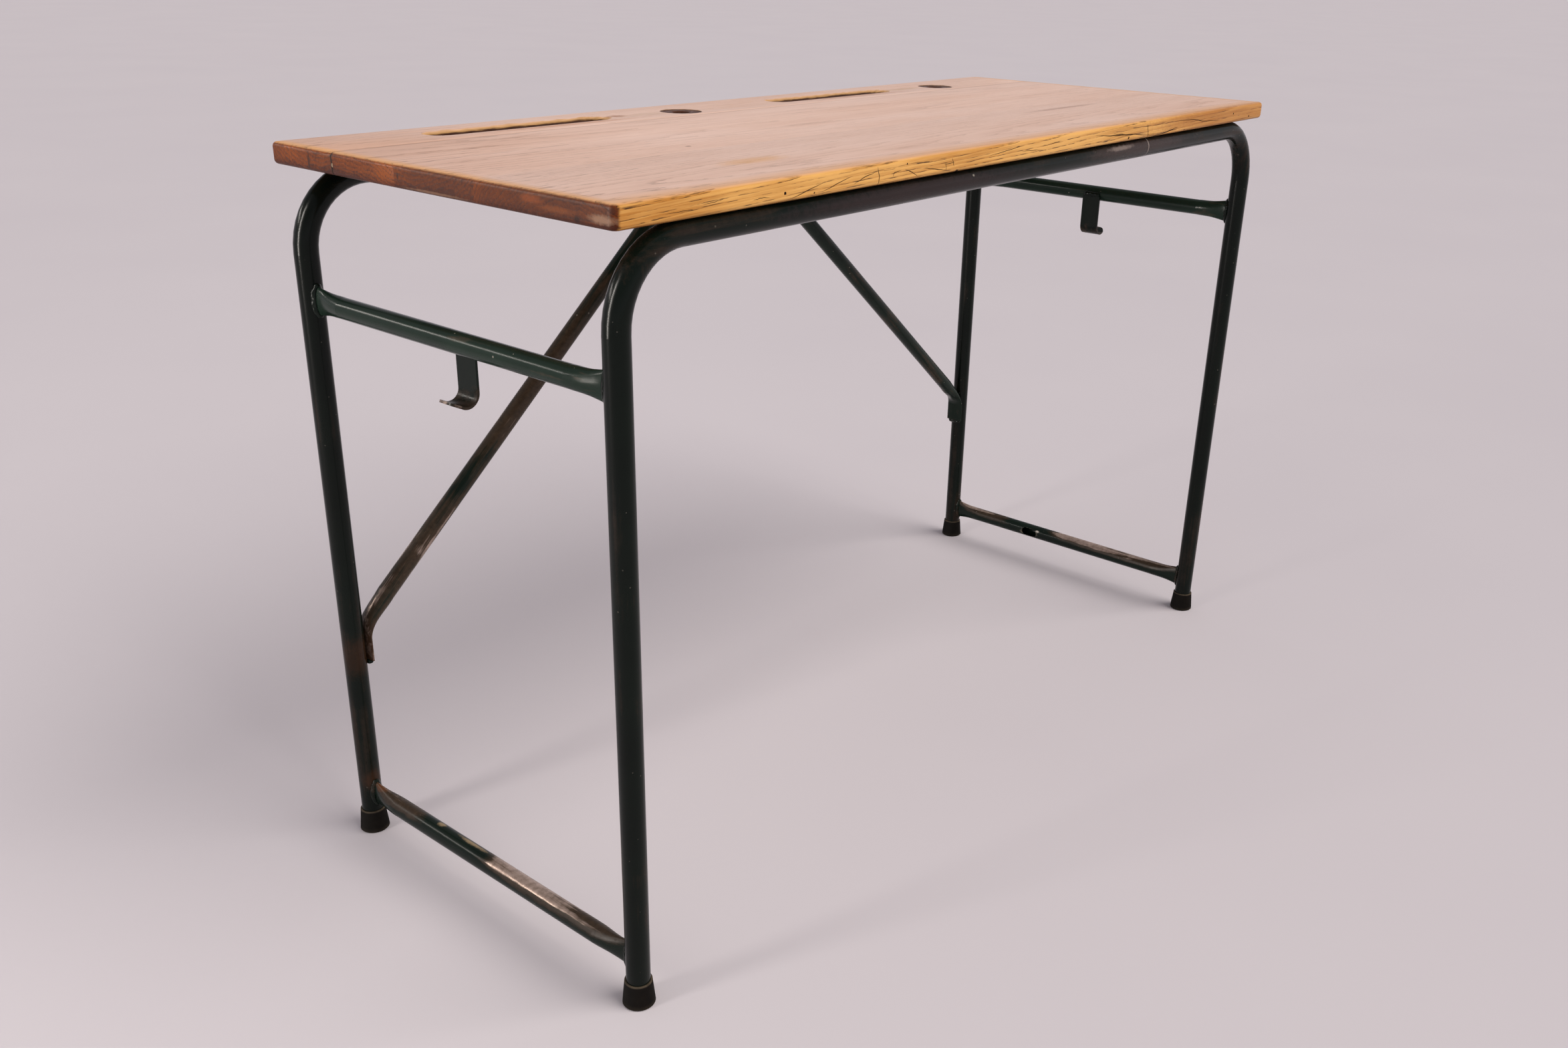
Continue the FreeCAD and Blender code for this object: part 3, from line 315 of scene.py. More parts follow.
def waxed_oak(name, pith, along, slope, value, marks=(), grooved=False):
    """One board of the top: its grain, the tones of its sides, and what the years have left on it."""
    material, tree, place = new_material(name)
    at = add(tree, "ShaderNodeSeparateXYZ", {0: place}).outputs
    rings, open_pores, fibres, patches = oak_grain(tree, place, pith, along, slope)
    faces_up, faces_down, faces_end = board_sides(tree, at)
    # how deep the tone is here: slow patches, the ring's own fade and the fibres
    ring_tone = add(tree, "ShaderNodeMath", {
        0: rings, 1: -0.28, 2: 0.14}, operation="MULTIPLY_ADD").outputs[0]
    fibre_tone = add(tree, "ShaderNodeMath", {
        0: fibres, 1: 1.1, 2: -0.55}, operation="MULTIPLY_ADD").outputs[0]
    patch_tone = add(tree, "ShaderNodeMapRange", {
        "Value": patches, "From Min": 0.28, "From Max": 0.72}).outputs[0]
    grain_tone = add(tree, "ShaderNodeMath", {0: ring_tone, 1: fibre_tone}, operation="ADD").outputs[0]
    # sleeves have evened out the grain of the face, and the end grain is drawn darker towards the underside
    low = add(tree, "ShaderNodeMapRange", {
        "Value": at["Z"], "From Min": UNDERSIDE_Z + LOW_DARKENING_SPAN[0],
        "From Max": UNDERSIDE_Z + LOW_DARKENING_SPAN[1], "To Max": 0.7}).outputs[0]
    low_patches = add(tree, "ShaderNodeMath", {0: patch_tone, 1: low}, operation="ADD").outputs[0]
    even_patches = add(tree, "ShaderNodeMath", {
        0: patch_tone, 1: 0.4, 2: 0.1}, operation="MULTIPLY_ADD").outputs[0]
    # the left pupil's place is the more worn one, and the darker one towards the back
    leftward = add(tree, "ShaderNodeMapRange", {
        "Value": at["X"], "From Min": LEFT_X / 2, "From Max": LEFT_X}).outputs[0]
    backward = add(tree, "ShaderNodeMapRange", {
        "Value": at["Y"], "From Min": FRONT_Y / 2, "From Max": BACK_Y / 2,
        "To Min": 0.1, "To Max": 0.85}).outputs[0]
    even_patches = add(tree, "ShaderNodeMath", {
        0: leftward, 1: backward, 2: even_patches}, operation="MULTIPLY_ADD").outputs[0]
    face, edge, end = (
        add(tree, "ShaderNodeMixRGB", {
            "Color1": linear(pale), "Color2": linear(dark),
            "Fac": add(tree, "ShaderNodeMath", {
                0: grain_tone, 1: contrast, 2: base}, operation="MULTIPLY_ADD", use_clamp=True).outputs[0],
        }).outputs[0]
        for pale, dark, contrast, base in (
            (FACE_PALE_SHEEN, FACE_DARK_SHEEN, 0.8, even_patches), (EDGE_PALE, EDGE_DARK, 1.6, patch_tone),
            (END_PALE, END_DARK, 1.3, low_patches)))
    face = add(tree, "ShaderNodeMixRGB", {
        "Fac": rim_gold_and_highlight(tree, at), "Color1": face, "Color2": linear(RIM_GOLD_HIGHLIGHT)}).outputs[0]
    colour = add(tree, "ShaderNodeMixRGB", {"Fac": faces_end, "Color1": edge, "Color2": end}).outputs[0]
    colour = add(tree, "ShaderNodeMixRGB", {"Fac": faces_up, "Color1": colour, "Color2": face}).outputs[0]
    # the pores hold old polish and dirt: a good deal of it on the edges, little on the scrubbed face
    on_face = add(tree, "ShaderNodeMath", {
        0: leftward, 1: 0.35, 2: 0.25}, operation="MULTIPLY_ADD").outputs[0]
    pore_share = add(tree, "ShaderNodeMixRGB", {
        "Fac": faces_up, "Color1": (0.95, 0.95, 0.95, 1), "Color2": on_face}).outputs[0]
    pore_dirt = add(tree, "ShaderNodeMath", {0: open_pores, 1: pore_share}, operation="MULTIPLY").outputs[0]
    colour = add(tree, "ShaderNodeMixRGB", {
        "Fac": pore_dirt, "Color1": colour, "Color2": linear(PORE_DARK)}).outputs[0]
    joint_line = add(tree, "ShaderNodeMath", {
        0: joint_stain(tree, at), 1: patch_tone}, operation="MULTIPLY").outputs[0]
    colour = add(tree, "ShaderNodeMixRGB", {
        "Fac": joint_line, "Color1": colour, "Color2": linear(GRIME_AND_SHADE)}).outputs[0]
    # the grooves darken with depth: dirt and painted shade
    if grooved:
        colour = groove_dirt_and_shade(tree, place, at, colour)
    # the underside was never finished and has darkened
    colour = add(tree, "ShaderNodeMixRGB", {
        "Fac": faces_down, "Color1": colour, "Color2": linear(END_DARK)}).outputs[0]
    colour = add(tree, "ShaderNodeHueSaturation", {"Color": colour, "Value": value}).outputs[0]
    colour = marked(tree, place, colour, marks)

    relief = add(tree, "ShaderNodeMath", {
        0: open_pores, 1: -1.0, 2: fibres}, operation="MULTIPLY_ADD").outputs[0]
    bump = add(tree, "ShaderNodeBump", {
        "Height": relief, "Strength": 0.4, "Distance": 0.0004}).outputs[0]
    roughness = add(tree, "ShaderNodeMapRange", {
        "Value": patches, "From Min": 0.3, "From Max": 0.7, "To Min": 0.36, "To Max": 0.5}).outputs[0]
    show(tree, add(tree, "ShaderNodeBsdfPrincipled", {
        "Base Color": colour, "Roughness": roughness, "Normal": bump, "IOR": 1.5,
        "Specular IOR Level": 0.22}))
    return material


# Marks on the boards that a hand would know the desk by: knots and a bleached corner on the sawn
# end, and stains beside the grooves. They are counted from the front left corner, low or high.
LOW_CORNER = Vector((LEFT_X, FRONT_Y, UNDERSIDE_Z))
HIGH_CORNER = Vector((LEFT_X, FRONT_Y, TOP_Z))
FRONT_MARKS = marks_from(LOW_CORNER, (
    ((0, 88, 11), (4, 130, 30), "#4b2410", 0.5),
    ((0, 97, 14), (6, 16, 4), "#a05222", 0.5),
    ((0, 66, 9), (6, 22, 3), "#94501f", 0.45),
    ((0, 42, 4.5), (4, 4, 3.5), "#2f150b", 0.9),
    ((0, 14, 8), (12, 16, 4.5), "#a98468", 0.7),
    ((4, 4, 16.5), (6, 5, 4), "#4a2412", 0.9),
    ((1100, 0, 11), (260, 10, 30), "#98602f", 0.5),
)) + marks_from(HIGH_CORNER, (
    ((252, 88, 0), (50, 16, 10), "#cf9a5c", 0.55),
    ((900, 140, 0), (100, 6, 10), "#8d6048", 0.5),
))
MIDDLE_FRONT_MARKS = marks_from(LOW_CORNER, (
    ((0, 208, 11), (4, 90, 30), "#4b2410", 0.4),
    ((0, 223, 2.5), (10, 50, 1.6), "#b08a6c", 0.4),
    ((0, 274, 11.5), (10, 2, 4), "#3a1b0e", 0.8),
    ((0, 169.5, 15), (10, 5, 1), "#3a1b0e", 0.8),
)) + marks_from(HIGH_CORNER, (
    ((276, 193, 0), (4, 3, 4), "#6d4330", 0.8),
))
BACK_MARKS = marks_from(LOW_CORNER, (
    ((0, 412, 8), (6, 2.5, 11), "#3a1d10", 0.8),
)) + marks_from(HIGH_CORNER, (
    ((395, 422, 0), (14, 10, 10), "#94603a", 0.7),
    ((435, 418, 0), (45, 10, 10), "#b8977a", 0.35),
    ((935, 418, 0), (45, 10, 10), "#b08a5e", 0.5),
    ((300, 398, 0), (130, 8, 6), "#b5805c", 0.6),
    ((820, 398, 0), (130, 8, 6), "#b5805c", 0.6),
))
oaks = {
    "front_board": waxed_oak(
        "waxed_oak_front", pith=(-0.19, 0.69), along=0.0, slope=1.6, value=1.0, marks=FRONT_MARKS),
    "middle_front_board": waxed_oak(
        "waxed_oak_middle_front", pith=(0.02, 0.86), along=3.1, slope=-0.5, value=1.03,
        marks=MIDDLE_FRONT_MARKS),
    "middle_back_board": waxed_oak(
        "waxed_oak_middle_back", pith=(0.13, 0.60), along=5.7, slope=0.4, value=1.01),
    "back_board": waxed_oak(
        "waxed_oak_back", pith=(0.16, 0.84), along=8.4, slope=0, value=0.98, marks=BACK_MARKS,
        grooved=True),
}
dress("middle_front_board", oaks["middle_front_board"])


# Drying cracks, insect holes and bruises in the top. They are cut into copies of the boards: a
# wedge for each crack, and a small lump for each hole. The crumbs of the dirt in them are drawn
# coarser than real ones, so that they show.
CRUMB = 0.0011


def old_dirt(name):
    material, tree, place = new_material(name)
    crumbs = add(tree, "ShaderNodeTexNoise", {
        "Vector": place, "Scale": 1 / CRUMB, "Detail": 3}).outputs["Fac"]
    colour = add(tree, "ShaderNodeMixRGB", {
        "Fac": crumbs, "Color1": linear("#1a0d07"), "Color2": linear("#3c2213")}).outputs[0]
    bump = add(tree, "ShaderNodeBump", {"Height": crumbs, "Strength": 0.5, "Distance": 0.0003}).outputs[0]
    show(tree, add(tree, "ShaderNodeBsdfPrincipled", {
        "Base Color": colour, "Roughness": 0.85, "Normal": bump}))
    return material


# points of the CAD node's mesh that are closer than this are one
MERGE = 1e-6
# how far a cutter stands out of the board
CUT_OUT = 0.0006
SMOOTH_ANGLE = math.radians(50)
# A crack's half width and depth, and its points: from the left end along the edge, and up from the
# underside. All in millimetres.
FRONT_CRACKS = (
    (0.60, 3.0, ((327, 17.5), (330, 8.5), (329, -1))),
    (0.45, 2.0, ((351, 6), (353, 10), (364, 11))),
    (0.45, 2.0, ((199, 1.5), (222, 6), (252, 12))),
    (0.45, 2.0, ((247, 3.5), (267, 8.5), (290, 13))),
    (0.50, 2.0, ((292, 5.5), (308, 10.5), (323, 13))),
    (0.40, 1.5, ((156, 6.8), (167, 7.3), (177, 6.8))),
    (0.35, 1.5, ((96, 9.8), (110, 10.6), (121, 12))),
    (0.35, 1.5, ((53, 7.4), (73, 7.8), (91, 7.2))),
    (0.50, 2.0, ((370, 11.5), (380, 8), (391, 3))),
    (0.50, 2.0, ((400, 9.4), (420, 6.6), (440, 3.6))),
    (0.45, 2.5, ((437, 11), (439, 3.5))),
    (0.55, 2.5, ((448, 14.5), (452, 6.3))),
    (0.45, 2.0, ((434, 10), (453, 9.7))),
    (0.45, 2.0, ((515, 10.5), (549, 13), (582, 15.7))),
    (0.40, 1.5, ((578, 9.3), (598, 8.5), (618, 7.9))),
    (0.40, 1.5, ((620, 11.4), (662, 12.9))),
    (0.70, 3.0, ((735, 13), (769, 10), (796, 9), (821, 7.7), (861, 4))),
    (0.50, 2.0, ((778, 11.3), (803, 9.4))),
    (0.70, 3.0, ((860, 16.5), (863, 9), (864, -1))),
    (0.75, 3.0, ((877, 1.3), (899, 1.8), (918, 4.1), (942, 7))),
    (0.60, 2.0, ((944, 14.4), (986, 13), (1012, 9.2), (1064, 6.4))),
)
# Each hole's place, as above, and its radius
FRONT_HOLES = (
    (197, 8, 1.5), (236, 4, 0.9), (815, 4, 1.7), (963, 1.8, 1.3), (1105, 12, 1.3), (1156, 5.3, 1.4),
    (373, 16, 1.0), (459, -1.2, 4.0), (700, -1.5, 2.6), (560, -1.8, 2.8), (1040, -1.6, 2.6),
)
# The open joint of the back board at the left end: from the joint to the back, and up
JOINT_CRACK = (
    (1.10, 5.0, ((0, 23), (0.1, 16), (-0.2, 9))),
    (1.65, 6.0, ((-0.1, 14), (-0.6, 9), (-0.3, 4))),
    (1.05, 5.0, ((-0.4, 9), (-0.5, 4), (-0.2, -2))),
)


def on_front(along, up, inward):
    return Vector((LEFT_X + along, FRONT_Y + inward, UNDERSIDE_Z + up))


def on_left_end(along, up, inward):
    return Vector((LEFT_X + inward, BACK_JOINT_Y + along, UNDERSIDE_Z + up))


# how far a crack strays to either side, in millimetres, how fast it narrows towards its ends, the
# least share of its width there, and how lumpy a hole is, as a share of its radius
STRAY = 0.35
NARROWING = 0.6
NARROWEST = 0.15
LUMPINESS = 0.22


def add_crack(cutter, half_width, depth, track, surface, chance):
    """A wedge along the track, ragged, and narrower towards both ends. Millimetres."""
    points = [Vector(track[0])]
    for start, end in zip(track, track[1:]):
        start, end = Vector(start), Vector(end)
        across = Vector((start.y - end.y, end.x - start.x)).normalized()
        points += [
            start.lerp(end, quarter / 4) + across * chance.uniform(-STRAY, STRAY)
            for quarter in (1, 2, 3)]
        points.append(end)
    rings = []
    for number, point in enumerate(points):
        way = (points[min(number + 1, len(points) - 1)] - points[max(number - 1, 0)]).normalized()
        share = max(math.sin(math.pi * number / (len(points) - 1)) ** NARROWING, NARROWEST)
        across = Vector((-way.y, way.x)) * half_width * share
        corners = ((point + across, -CUT_OUT), (point - across, -CUT_OUT), (point, depth / 1000))
        rings.append([cutter.verts.new(surface(at.x / 1000, at.y / 1000, deep)) for at, deep in corners])
    for first, second in zip(rings, rings[1:]):
        for side in range(3):
            following = (side + 1) % 3
            cutter.faces.new((first[side], first[following], second[following], second[side]))
    cutter.faces.new(rings[0])
    cutter.faces.new(rings[-1])


def add_hole(cutter, along, up, radius, surface, chance):
    spot = Matrix.Translation(surface(along / 1000, up / 1000, 0))
    lump = bmesh.ops.create_icosphere(cutter, subdivisions=2, radius=radius / 1000, matrix=spot)
    for vert in lump["verts"]:
        vert.co += Vector([
            chance.uniform(-LUMPINESS, LUMPINESS) * radius / 1000 for _ in range(3)])


def mesh_of(shape, name):
    bmesh.ops.recalc_face_normals(shape, faces=shape.faces)
    mesh = bpy.data.meshes.new(name)
    shape.to_mesh(mesh)
    shape.free()
    return mesh


def placed(name, data):
    piece = bpy.data.objects.new(name, data)
    bpy.context.scene.collection.objects.link(piece)
    return piece


def merged_copy(node):
    """The CAD node's shape with its loose triangles joined."""
    shape = bmesh.new()
    shape.from_mesh(nodes[node].data)
    bmesh.ops.remove_doubles(shape, verts=shape.verts, dist=MERGE)
    return shape


def apply_modifiers(piece):
    """The piece with its modifiers worked into its mesh."""
    seen = piece.evaluated_get(bpy.context.evaluated_depsgraph_get())
    mesh = bpy.data.meshes.new_from_object(seen)
    piece.modifiers.clear()
    piece.data = mesh


def take_place(piece, node):
    """The piece stands for the CAD node and moves with the desk."""
    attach(piece, "desk")
    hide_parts(node)


def worn_board(node, cutter, dirt):
    piece = placed(f"{node}_worn", mesh_of(merged_copy(node), f"{node}_worn"))
    piece.data.materials.append(oaks[node])
    piece.data.materials.append(dirt)
    cuts = piece.modifiers.new("cuts", "BOOLEAN")
    cuts.operation = "DIFFERENCE"
    cuts.solver = "EXACT"
    cuts.use_self = True
    cuts.material_mode = "INDEX"
    cuts.object = cutter
    apply_modifiers(piece)
    for polygon in piece.data.polygons:
        polygon.use_smooth = True
    piece.data.set_sharp_from_angle(angle=SMOOTH_ANGLE)
    # large flat faces keep their own normal beside the round rims
    weighted = piece.modifiers.new("weighted", "WEIGHTED_NORMAL")
    weighted.keep_sharp = True
    apply_modifiers(piece)
    take_place(piece, node)


def cutter_of(name, cracks, holes, surface, seed, dirt):
    chance = random.Random(seed)
    cutter = bmesh.new()
    for half_width, depth, track in cracks:
        add_crack(cutter, half_width, depth, track, surface, chance)
    for along, up, radius in holes:
        add_hole(cutter, along, up, radius, surface, chance)
    # the walls of the cuts take the board's second material
    for face in cutter.faces:
        face.material_index = 1
    knife = placed(name, mesh_of(cutter, name))
    knife.data.materials.append(dirt)
    knife.data.materials.append(dirt)
    return knife


crack_dirt = old_dirt("old_dirt")
front_cutter = cutter_of(
    "front_cutter", FRONT_CRACKS, FRONT_HOLES, on_front, seed=4, dirt=crack_dirt)
end_cutter = cutter_of("end_cutter", JOINT_CRACK, (), on_left_end, seed=7, dirt=crack_dirt)
worn_board("front_board", front_cutter, crack_dirt)
worn_board("middle_back_board", end_cutter, crack_dirt)
worn_board("back_board", end_cutter, crack_dirt)
for cutter in (front_cutter, end_cutter):
    bpy.data.objects.remove(cutter)


# The loose tongues in the edge joints. Pale sawn softwood, glued in when the top was cramped up. A
# splinter of it shows in the open joint at the left end.
PINE_GRAIN_LENGTH = 0.11
PINE_GRAIN_WIDTH = 0.0017


def sawn_pine(name):
    material, tree, place = new_material(name)
    grown = add(tree, "ShaderNodeMapping", {
        "Vector": place,
        "Scale": (1 / PINE_GRAIN_LENGTH, 1 / PINE_GRAIN_WIDTH, 1 / PINE_GRAIN_WIDTH)}).outputs[0]
    grain = add(tree, "ShaderNodeTexNoise", {"Vector": grown, "Scale": 1, "Detail": 3}).outputs["Fac"]
    colour = add(tree, "ShaderNodeMixRGB", {
        "Fac": grain, "Color1": linear("#c9b394"), "Color2": linear("#9a7b58")}).outputs[0]
    bump = add(tree, "ShaderNodeBump", {"Height": grain, "Strength": 0.4, "Distance": 0.0003}).outputs[0]
    show(tree, add(tree, "ShaderNodeBsdfPrincipled", {
        "Base Color": colour, "Roughness": 0.75, "Normal": bump}))
    return material


SPLINTER_RADIUS = 0.0011
SPLINTER_STRETCH = 1.8
SPLINTER_SPOT = on_left_end(-0.0003, 0.0095, SPLINTER_RADIUS)
pine = sawn_pine("sawn_pine")
dress("board_tongues", pine)
splinter_shape = bmesh.new()
bmesh.ops.create_icosphere(splinter_shape, subdivisions=2, radius=SPLINTER_RADIUS)
chance = random.Random(3)
for vert in splinter_shape.verts:
    vert.co.z *= SPLINTER_STRETCH
    vert.co *= chance.uniform(0.8, 1.15)
    vert.co += SPLINTER_SPOT
splinter = placed("tongue_splinter", mesh_of(splinter_shape, "tongue_splinter"))
splinter.data.materials.append(pine)
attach(splinter, "desk")


# The inkwells. Cups of dark brown moulded plastic that hang in stepped holes, still glossy where no
# hand reaches, with dried ink round the mouth.
MOTTLE = 0.0043


def moulded_phenolic(name):
    material, tree, place = new_material(name)
    mottle = add(tree, "ShaderNodeTexNoise", {
        "Vector": place, "Scale": 1 / MOTTLE, "Detail": 4, "Roughness": 0.75}).outputs["Fac"]
    colour = add(tree, "ShaderNodeMixRGB", {
        "Fac": mottle, "Color1": linear("#6b4535"), "Color2": linear("#1b0f0b")}).outputs[0]
    roughness = add(tree, "ShaderNodeMapRange", {
        "Value": mottle, "From Min": 0.35, "From Max": 0.7, "To Min": 0.3, "To Max": 0.6}).outputs[0]
    bump = add(tree, "ShaderNodeBump", {"Height": mottle, "Strength": 0.5, "Distance": 0.0008}).outputs[0]
    show(tree, add(tree, "ShaderNodeBsdfPrincipled", {
        "Base Color": colour, "Roughness": roughness, "Normal": bump, "IOR": 1.5,
        "Specular IOR Level": 0.12}))
    return material


phenolic = moulded_phenolic("moulded_phenolic")
for side in ("left", "right"):
    dress(f"{side}_inkwell", phenolic)


# The steel frame. Drawn tube, bent cold and welded, under one coat of dark green gloss enamel. Hands,
# shoes and satchels have rubbed it to a purple-brown, and down to bright steel where feet rest.
PAINT_DARK = "#060b08"
PAINT_PALE = "#142019"
WORN_BROWN = "#413428"
WORN_DARK = "#150f0c"
BARE_STEEL = "#b7a398"
CHIP_PALE = "#8d877c"
# the sizes of the specks in the worn film and of the slow clouds of wear, and how far chips lie apart
SPECK = 0.0048
CLOUD = 0.09
CHIP_SPACING = 0.0133
# the size of the streaks along X, Y and Z, long along the tube
UP_THE_LEG = (0.007, 0.007, 0.16)
ALONG_THE_RAIL = (0.16, 0.007, 0.007)
ACROSS_THE_DESK = (0.007, 0.12, 0.007)
UP_THE_BRACE = (0.006, 0.006, 0.10)
ALL_WAYS = (0.01, 0.01, 0.01)
# the rail under the top lies above this height, and the legs below it
BEND_Z = 0.72


def gloss_enamel(name, streak, wear, rail_streak=None, marks=(), value=1.0, lean=0):
    """Worn enamel. streak is the size of the streaks, and rail_streak their size in the rail of a frame
    that is bent from one tube. wear gives how brown and how bare it is from the point and the normal,
    value makes it darker or paler, which paints shade or light into it, and lean is how far a pair
    of tubes leans towards the middle."""
    material, tree, place = new_material(name)
    normal = add(tree, "ShaderNodeNewGeometry").outputs["Normal"]
    turned = add(tree, "ShaderNodeSeparateXYZ", {0: normal}).outputs
    at = add(tree, "ShaderNodeSeparateXYZ", {0: place}).outputs
    brown, bare = wear(tree, at, turned)
    straight = place
    if lean:
        out = add(tree, "ShaderNodeMath", {0: at["X"]}, operation="ABSOLUTE").outputs[0]
        mirrored = add(tree, "ShaderNodeCombineXYZ", {0: out, 1: at["Y"], 2: at["Z"]}).outputs[0]
        straight = add(tree, "ShaderNodeMapping", {
            "Vector": mirrored, "Rotation": (0, lean, 0)}).outputs[0]
    drawn = add(tree, "ShaderNodeMapping", {
        "Vector": straight, "Scale": tuple(1 / size for size in streak)}).outputs[0]
    if rail_streak:
        level = add(tree, "ShaderNodeMapping", {
            "Vector": place, "Scale": tuple(1 / size for size in rail_streak)}).outputs[0]
        high = add(tree, "ShaderNodeMath", {
            0: at["Z"], 1: BEND_Z}, operation="GREATER_THAN").outputs[0]
        drawn = add(tree, "ShaderNodeMixRGB", {"Fac": high, "Color1": drawn, "Color2": level}).outputs[0]
    streaks = add(tree, "ShaderNodeTexNoise", {
        "Vector": drawn, "Scale": 1, "Detail": 5, "Roughness": 0.6}).outputs["Fac"]
    specks = add(tree, "ShaderNodeTexNoise", {
        "Vector": place, "Scale": 1 / SPECK, "Detail": 4, "Roughness": 0.65}).outputs["Fac"]
    clouds = add(tree, "ShaderNodeTexNoise", {
        "Vector": place, "Scale": 1 / CLOUD, "Detail": 4, "Roughness": 0.6}).outputs["Fac"]
    paint = add(tree, "ShaderNodeMixRGB", {
        "Fac": clouds, "Color1": linear(PAINT_DARK), "Color2": linear(PAINT_PALE)}).outputs[0]
    rubbed = add(tree, "ShaderNodeMixRGB", {
        "Fac": specks, "Color1": linear(WORN_DARK), "Color2": linear(WORN_BROWN)}).outputs[0]
    # wear breaks up along streaks: the wear asked for lifts the streaks over the threshold
    ragged = add(tree, "ShaderNodeMath", {0: streaks, 1: clouds}, operation="ADD").outputs[0]
    brown_sum = add(tree, "ShaderNodeMath", {0: ragged, 1: brown}, operation="ADD").outputs[0]
    brown_mask = add(tree, "ShaderNodeMapRange", {
        "Value": brown_sum, "From Min": 1.18, "From Max": 1.42, "To Max": 0.92}).outputs[0]
    bare_sum = add(tree, "ShaderNodeMath", {0: ragged, 1: bare}, operation="ADD").outputs[0]
    bare_mask = add(tree, "ShaderNodeMapRange", {
        "Value": bare_sum, "From Min": 1.42, "From Max": 1.58}).outputs[0]
    colour = add(tree, "ShaderNodeMixRGB", {
        "Fac": brown_mask, "Color1": paint, "Color2": rubbed}).outputs[0]
    # little chips through to the steel, and dust that sticks in them
    chip_noise = add(tree, "ShaderNodeTexVoronoi", {
        "Vector": place, "Scale": 1 / CHIP_SPACING, "Randomness": 1}).outputs["Distance"]
    chip_size = add(tree, "ShaderNodeMath", {
        0: clouds, 1: 0.22, 2: -0.055}, operation="MULTIPLY_ADD").outputs[0]
    chips = add(tree, "ShaderNodeMath", {0: chip_noise, 1: chip_size}, operation="LESS_THAN").outputs[0]
    chips = add(tree, "ShaderNodeMath", {0: chips, 1: 0.3}, operation="MULTIPLY").outputs[0]
    colour = add(tree, "ShaderNodeMixRGB", {
        "Fac": chips, "Color1": colour, "Color2": linear(CHIP_PALE)}).outputs[0]
    # on the braces the bare steel also stands for a painted highlight
    steel = add(tree, "ShaderNodeMixRGB", {
        "Fac": specks, "Color1": linear(BARE_STEEL), "Color2": linear(WORN_BROWN)}).outputs[0]
    colour = add(tree, "ShaderNodeMixRGB", {"Fac": bare_mask, "Color1": colour, "Color2": steel}).outputs[0]
    colour = add(tree, "ShaderNodeHueSaturation", {"Color": colour, "Value": value}).outputs[0]
    colour = marked(tree, place, colour, marks)
    metallic = add(tree, "ShaderNodeMath", {0: bare_mask, 1: 0.55}, operation="MULTIPLY").outputs[0]
    matt = add(tree, "ShaderNodeMath", {
        0: brown_mask, 1: 0.15, 2: 0.2}, operation="MULTIPLY_ADD").outputs[0]
    roughness = add(tree, "ShaderNodeMath", {
        0: bare_mask, 1: -0.08, 2: matt}, operation="MULTIPLY_ADD").outputs[0]
    film = add(tree, "ShaderNodeMath", {
        0: bare_mask, 1: -0.6, 2: specks}, operation="MULTIPLY_ADD").outputs[0]
    bump = add(tree, "ShaderNodeBump", {"Height": film, "Strength": 0.12, "Distance": 0.0003}).outputs[0]
    show(tree, add(tree, "ShaderNodeBsdfPrincipled", {
        "Base Color": colour, "Roughness": roughness, "Metallic": metallic, "Normal": bump,
        "Specular IOR Level": 0.15}))
    return material


# Where each kind of wear begins and where it is full. Across the desk, the braces are more worn at
# one side, and the hooks at their tips.
LEG_WEAR_Z = (0.70, 0.1)
FRONT_LEG_WEAR_Z = (0.66, 0.1)
KNEE_WEAR_Z = (0.66, 0.72)
BRACE_BROWN_Z = (0.66, 0.48)
# the braces' polish, which is partly a painted highlight
BRACE_POLISH_HIGHLIGHT_Z = (0.62, 0.34)
WORN_SIDE_X = (0.1, -0.1)
HOOK_BEND_Z = (0.590, 0.568)
HOOK_TIP_X = (0.588, 0.602)
# and along a foot rail: the bare stretch where feet rest, the one behind it, and the front end
FEET_Y = (0.035, -0.01)
REAR_STRETCH_Y = (0.09, 0.13)
FRONT_END_Y = (-0.17, -0.06)


def little_wear(tree, at, turned):
    return 0.02, 0.0


def leg_wear(tree, at, turned):
    """Legs are rubbed in the lower two thirds, where shoes and floor cloths reach."""
    low = add(tree, "ShaderNodeMapRange", {
        "Value": at["Z"], "From Min": LEG_WEAR_Z[0], "From Max": LEG_WEAR_Z[1],
        "To Min": 0.04, "To Max": 0.18}).outputs[0]
    return low, 0.04


def front_frame_wear(tree, at, turned):
    """The front rail is rubbed brown by knees, and the legs as the others are."""
    low = add(tree, "ShaderNodeMapRange", {
        "Value": at["Z"], "From Min": FRONT_LEG_WEAR_Z[0], "From Max": FRONT_LEG_WEAR_Z[1],
        "To Min": 0.05, "To Max": 0.18}).outputs[0]
    high = add(tree, "ShaderNodeMapRange", {
        "Value": at["Z"], "From Min": KNEE_WEAR_Z[0], "From Max": KNEE_WEAR_Z[1],
        "To Max": 0.14}).outputs[0]
    return add(tree, "ShaderNodeMath", {0: low, 1: high}, operation="ADD").outputs[0], 0.05


def brace_wear(tree, at, turned):
    """The braces are green at the top, rubbed brown below it, and polished by satchels lower down, the
    left one far more than the right. The polish is partly a painted highlight."""
    polished_and_lit = add(tree, "ShaderNodeMapRange", {
        "Value": at["Z"], "From Min": BRACE_POLISH_HIGHLIGHT_Z[0], "From Max": BRACE_POLISH_HIGHLIGHT_Z[1],
        "To Max": 0.36}).outputs[0]
    rubbed = add(tree, "ShaderNodeMapRange", {
        "Value": at["Z"], "From Min": BRACE_BROWN_Z[0], "From Max": BRACE_BROWN_Z[1],
        "To Min": 0.08, "To Max": 0.42}).outputs[0]
    side = add(tree, "ShaderNodeMapRange", {
        "Value": at["X"], "From Min": WORN_SIDE_X[0], "From Max": WORN_SIDE_X[1],
        "To Min": 0.3}).outputs[0]
    return tuple(
        add(tree, "ShaderNodeMath", {0: share, 1: side}, operation="MULTIPLY").outputs[0]
        for share in (rubbed, polished_and_lit))


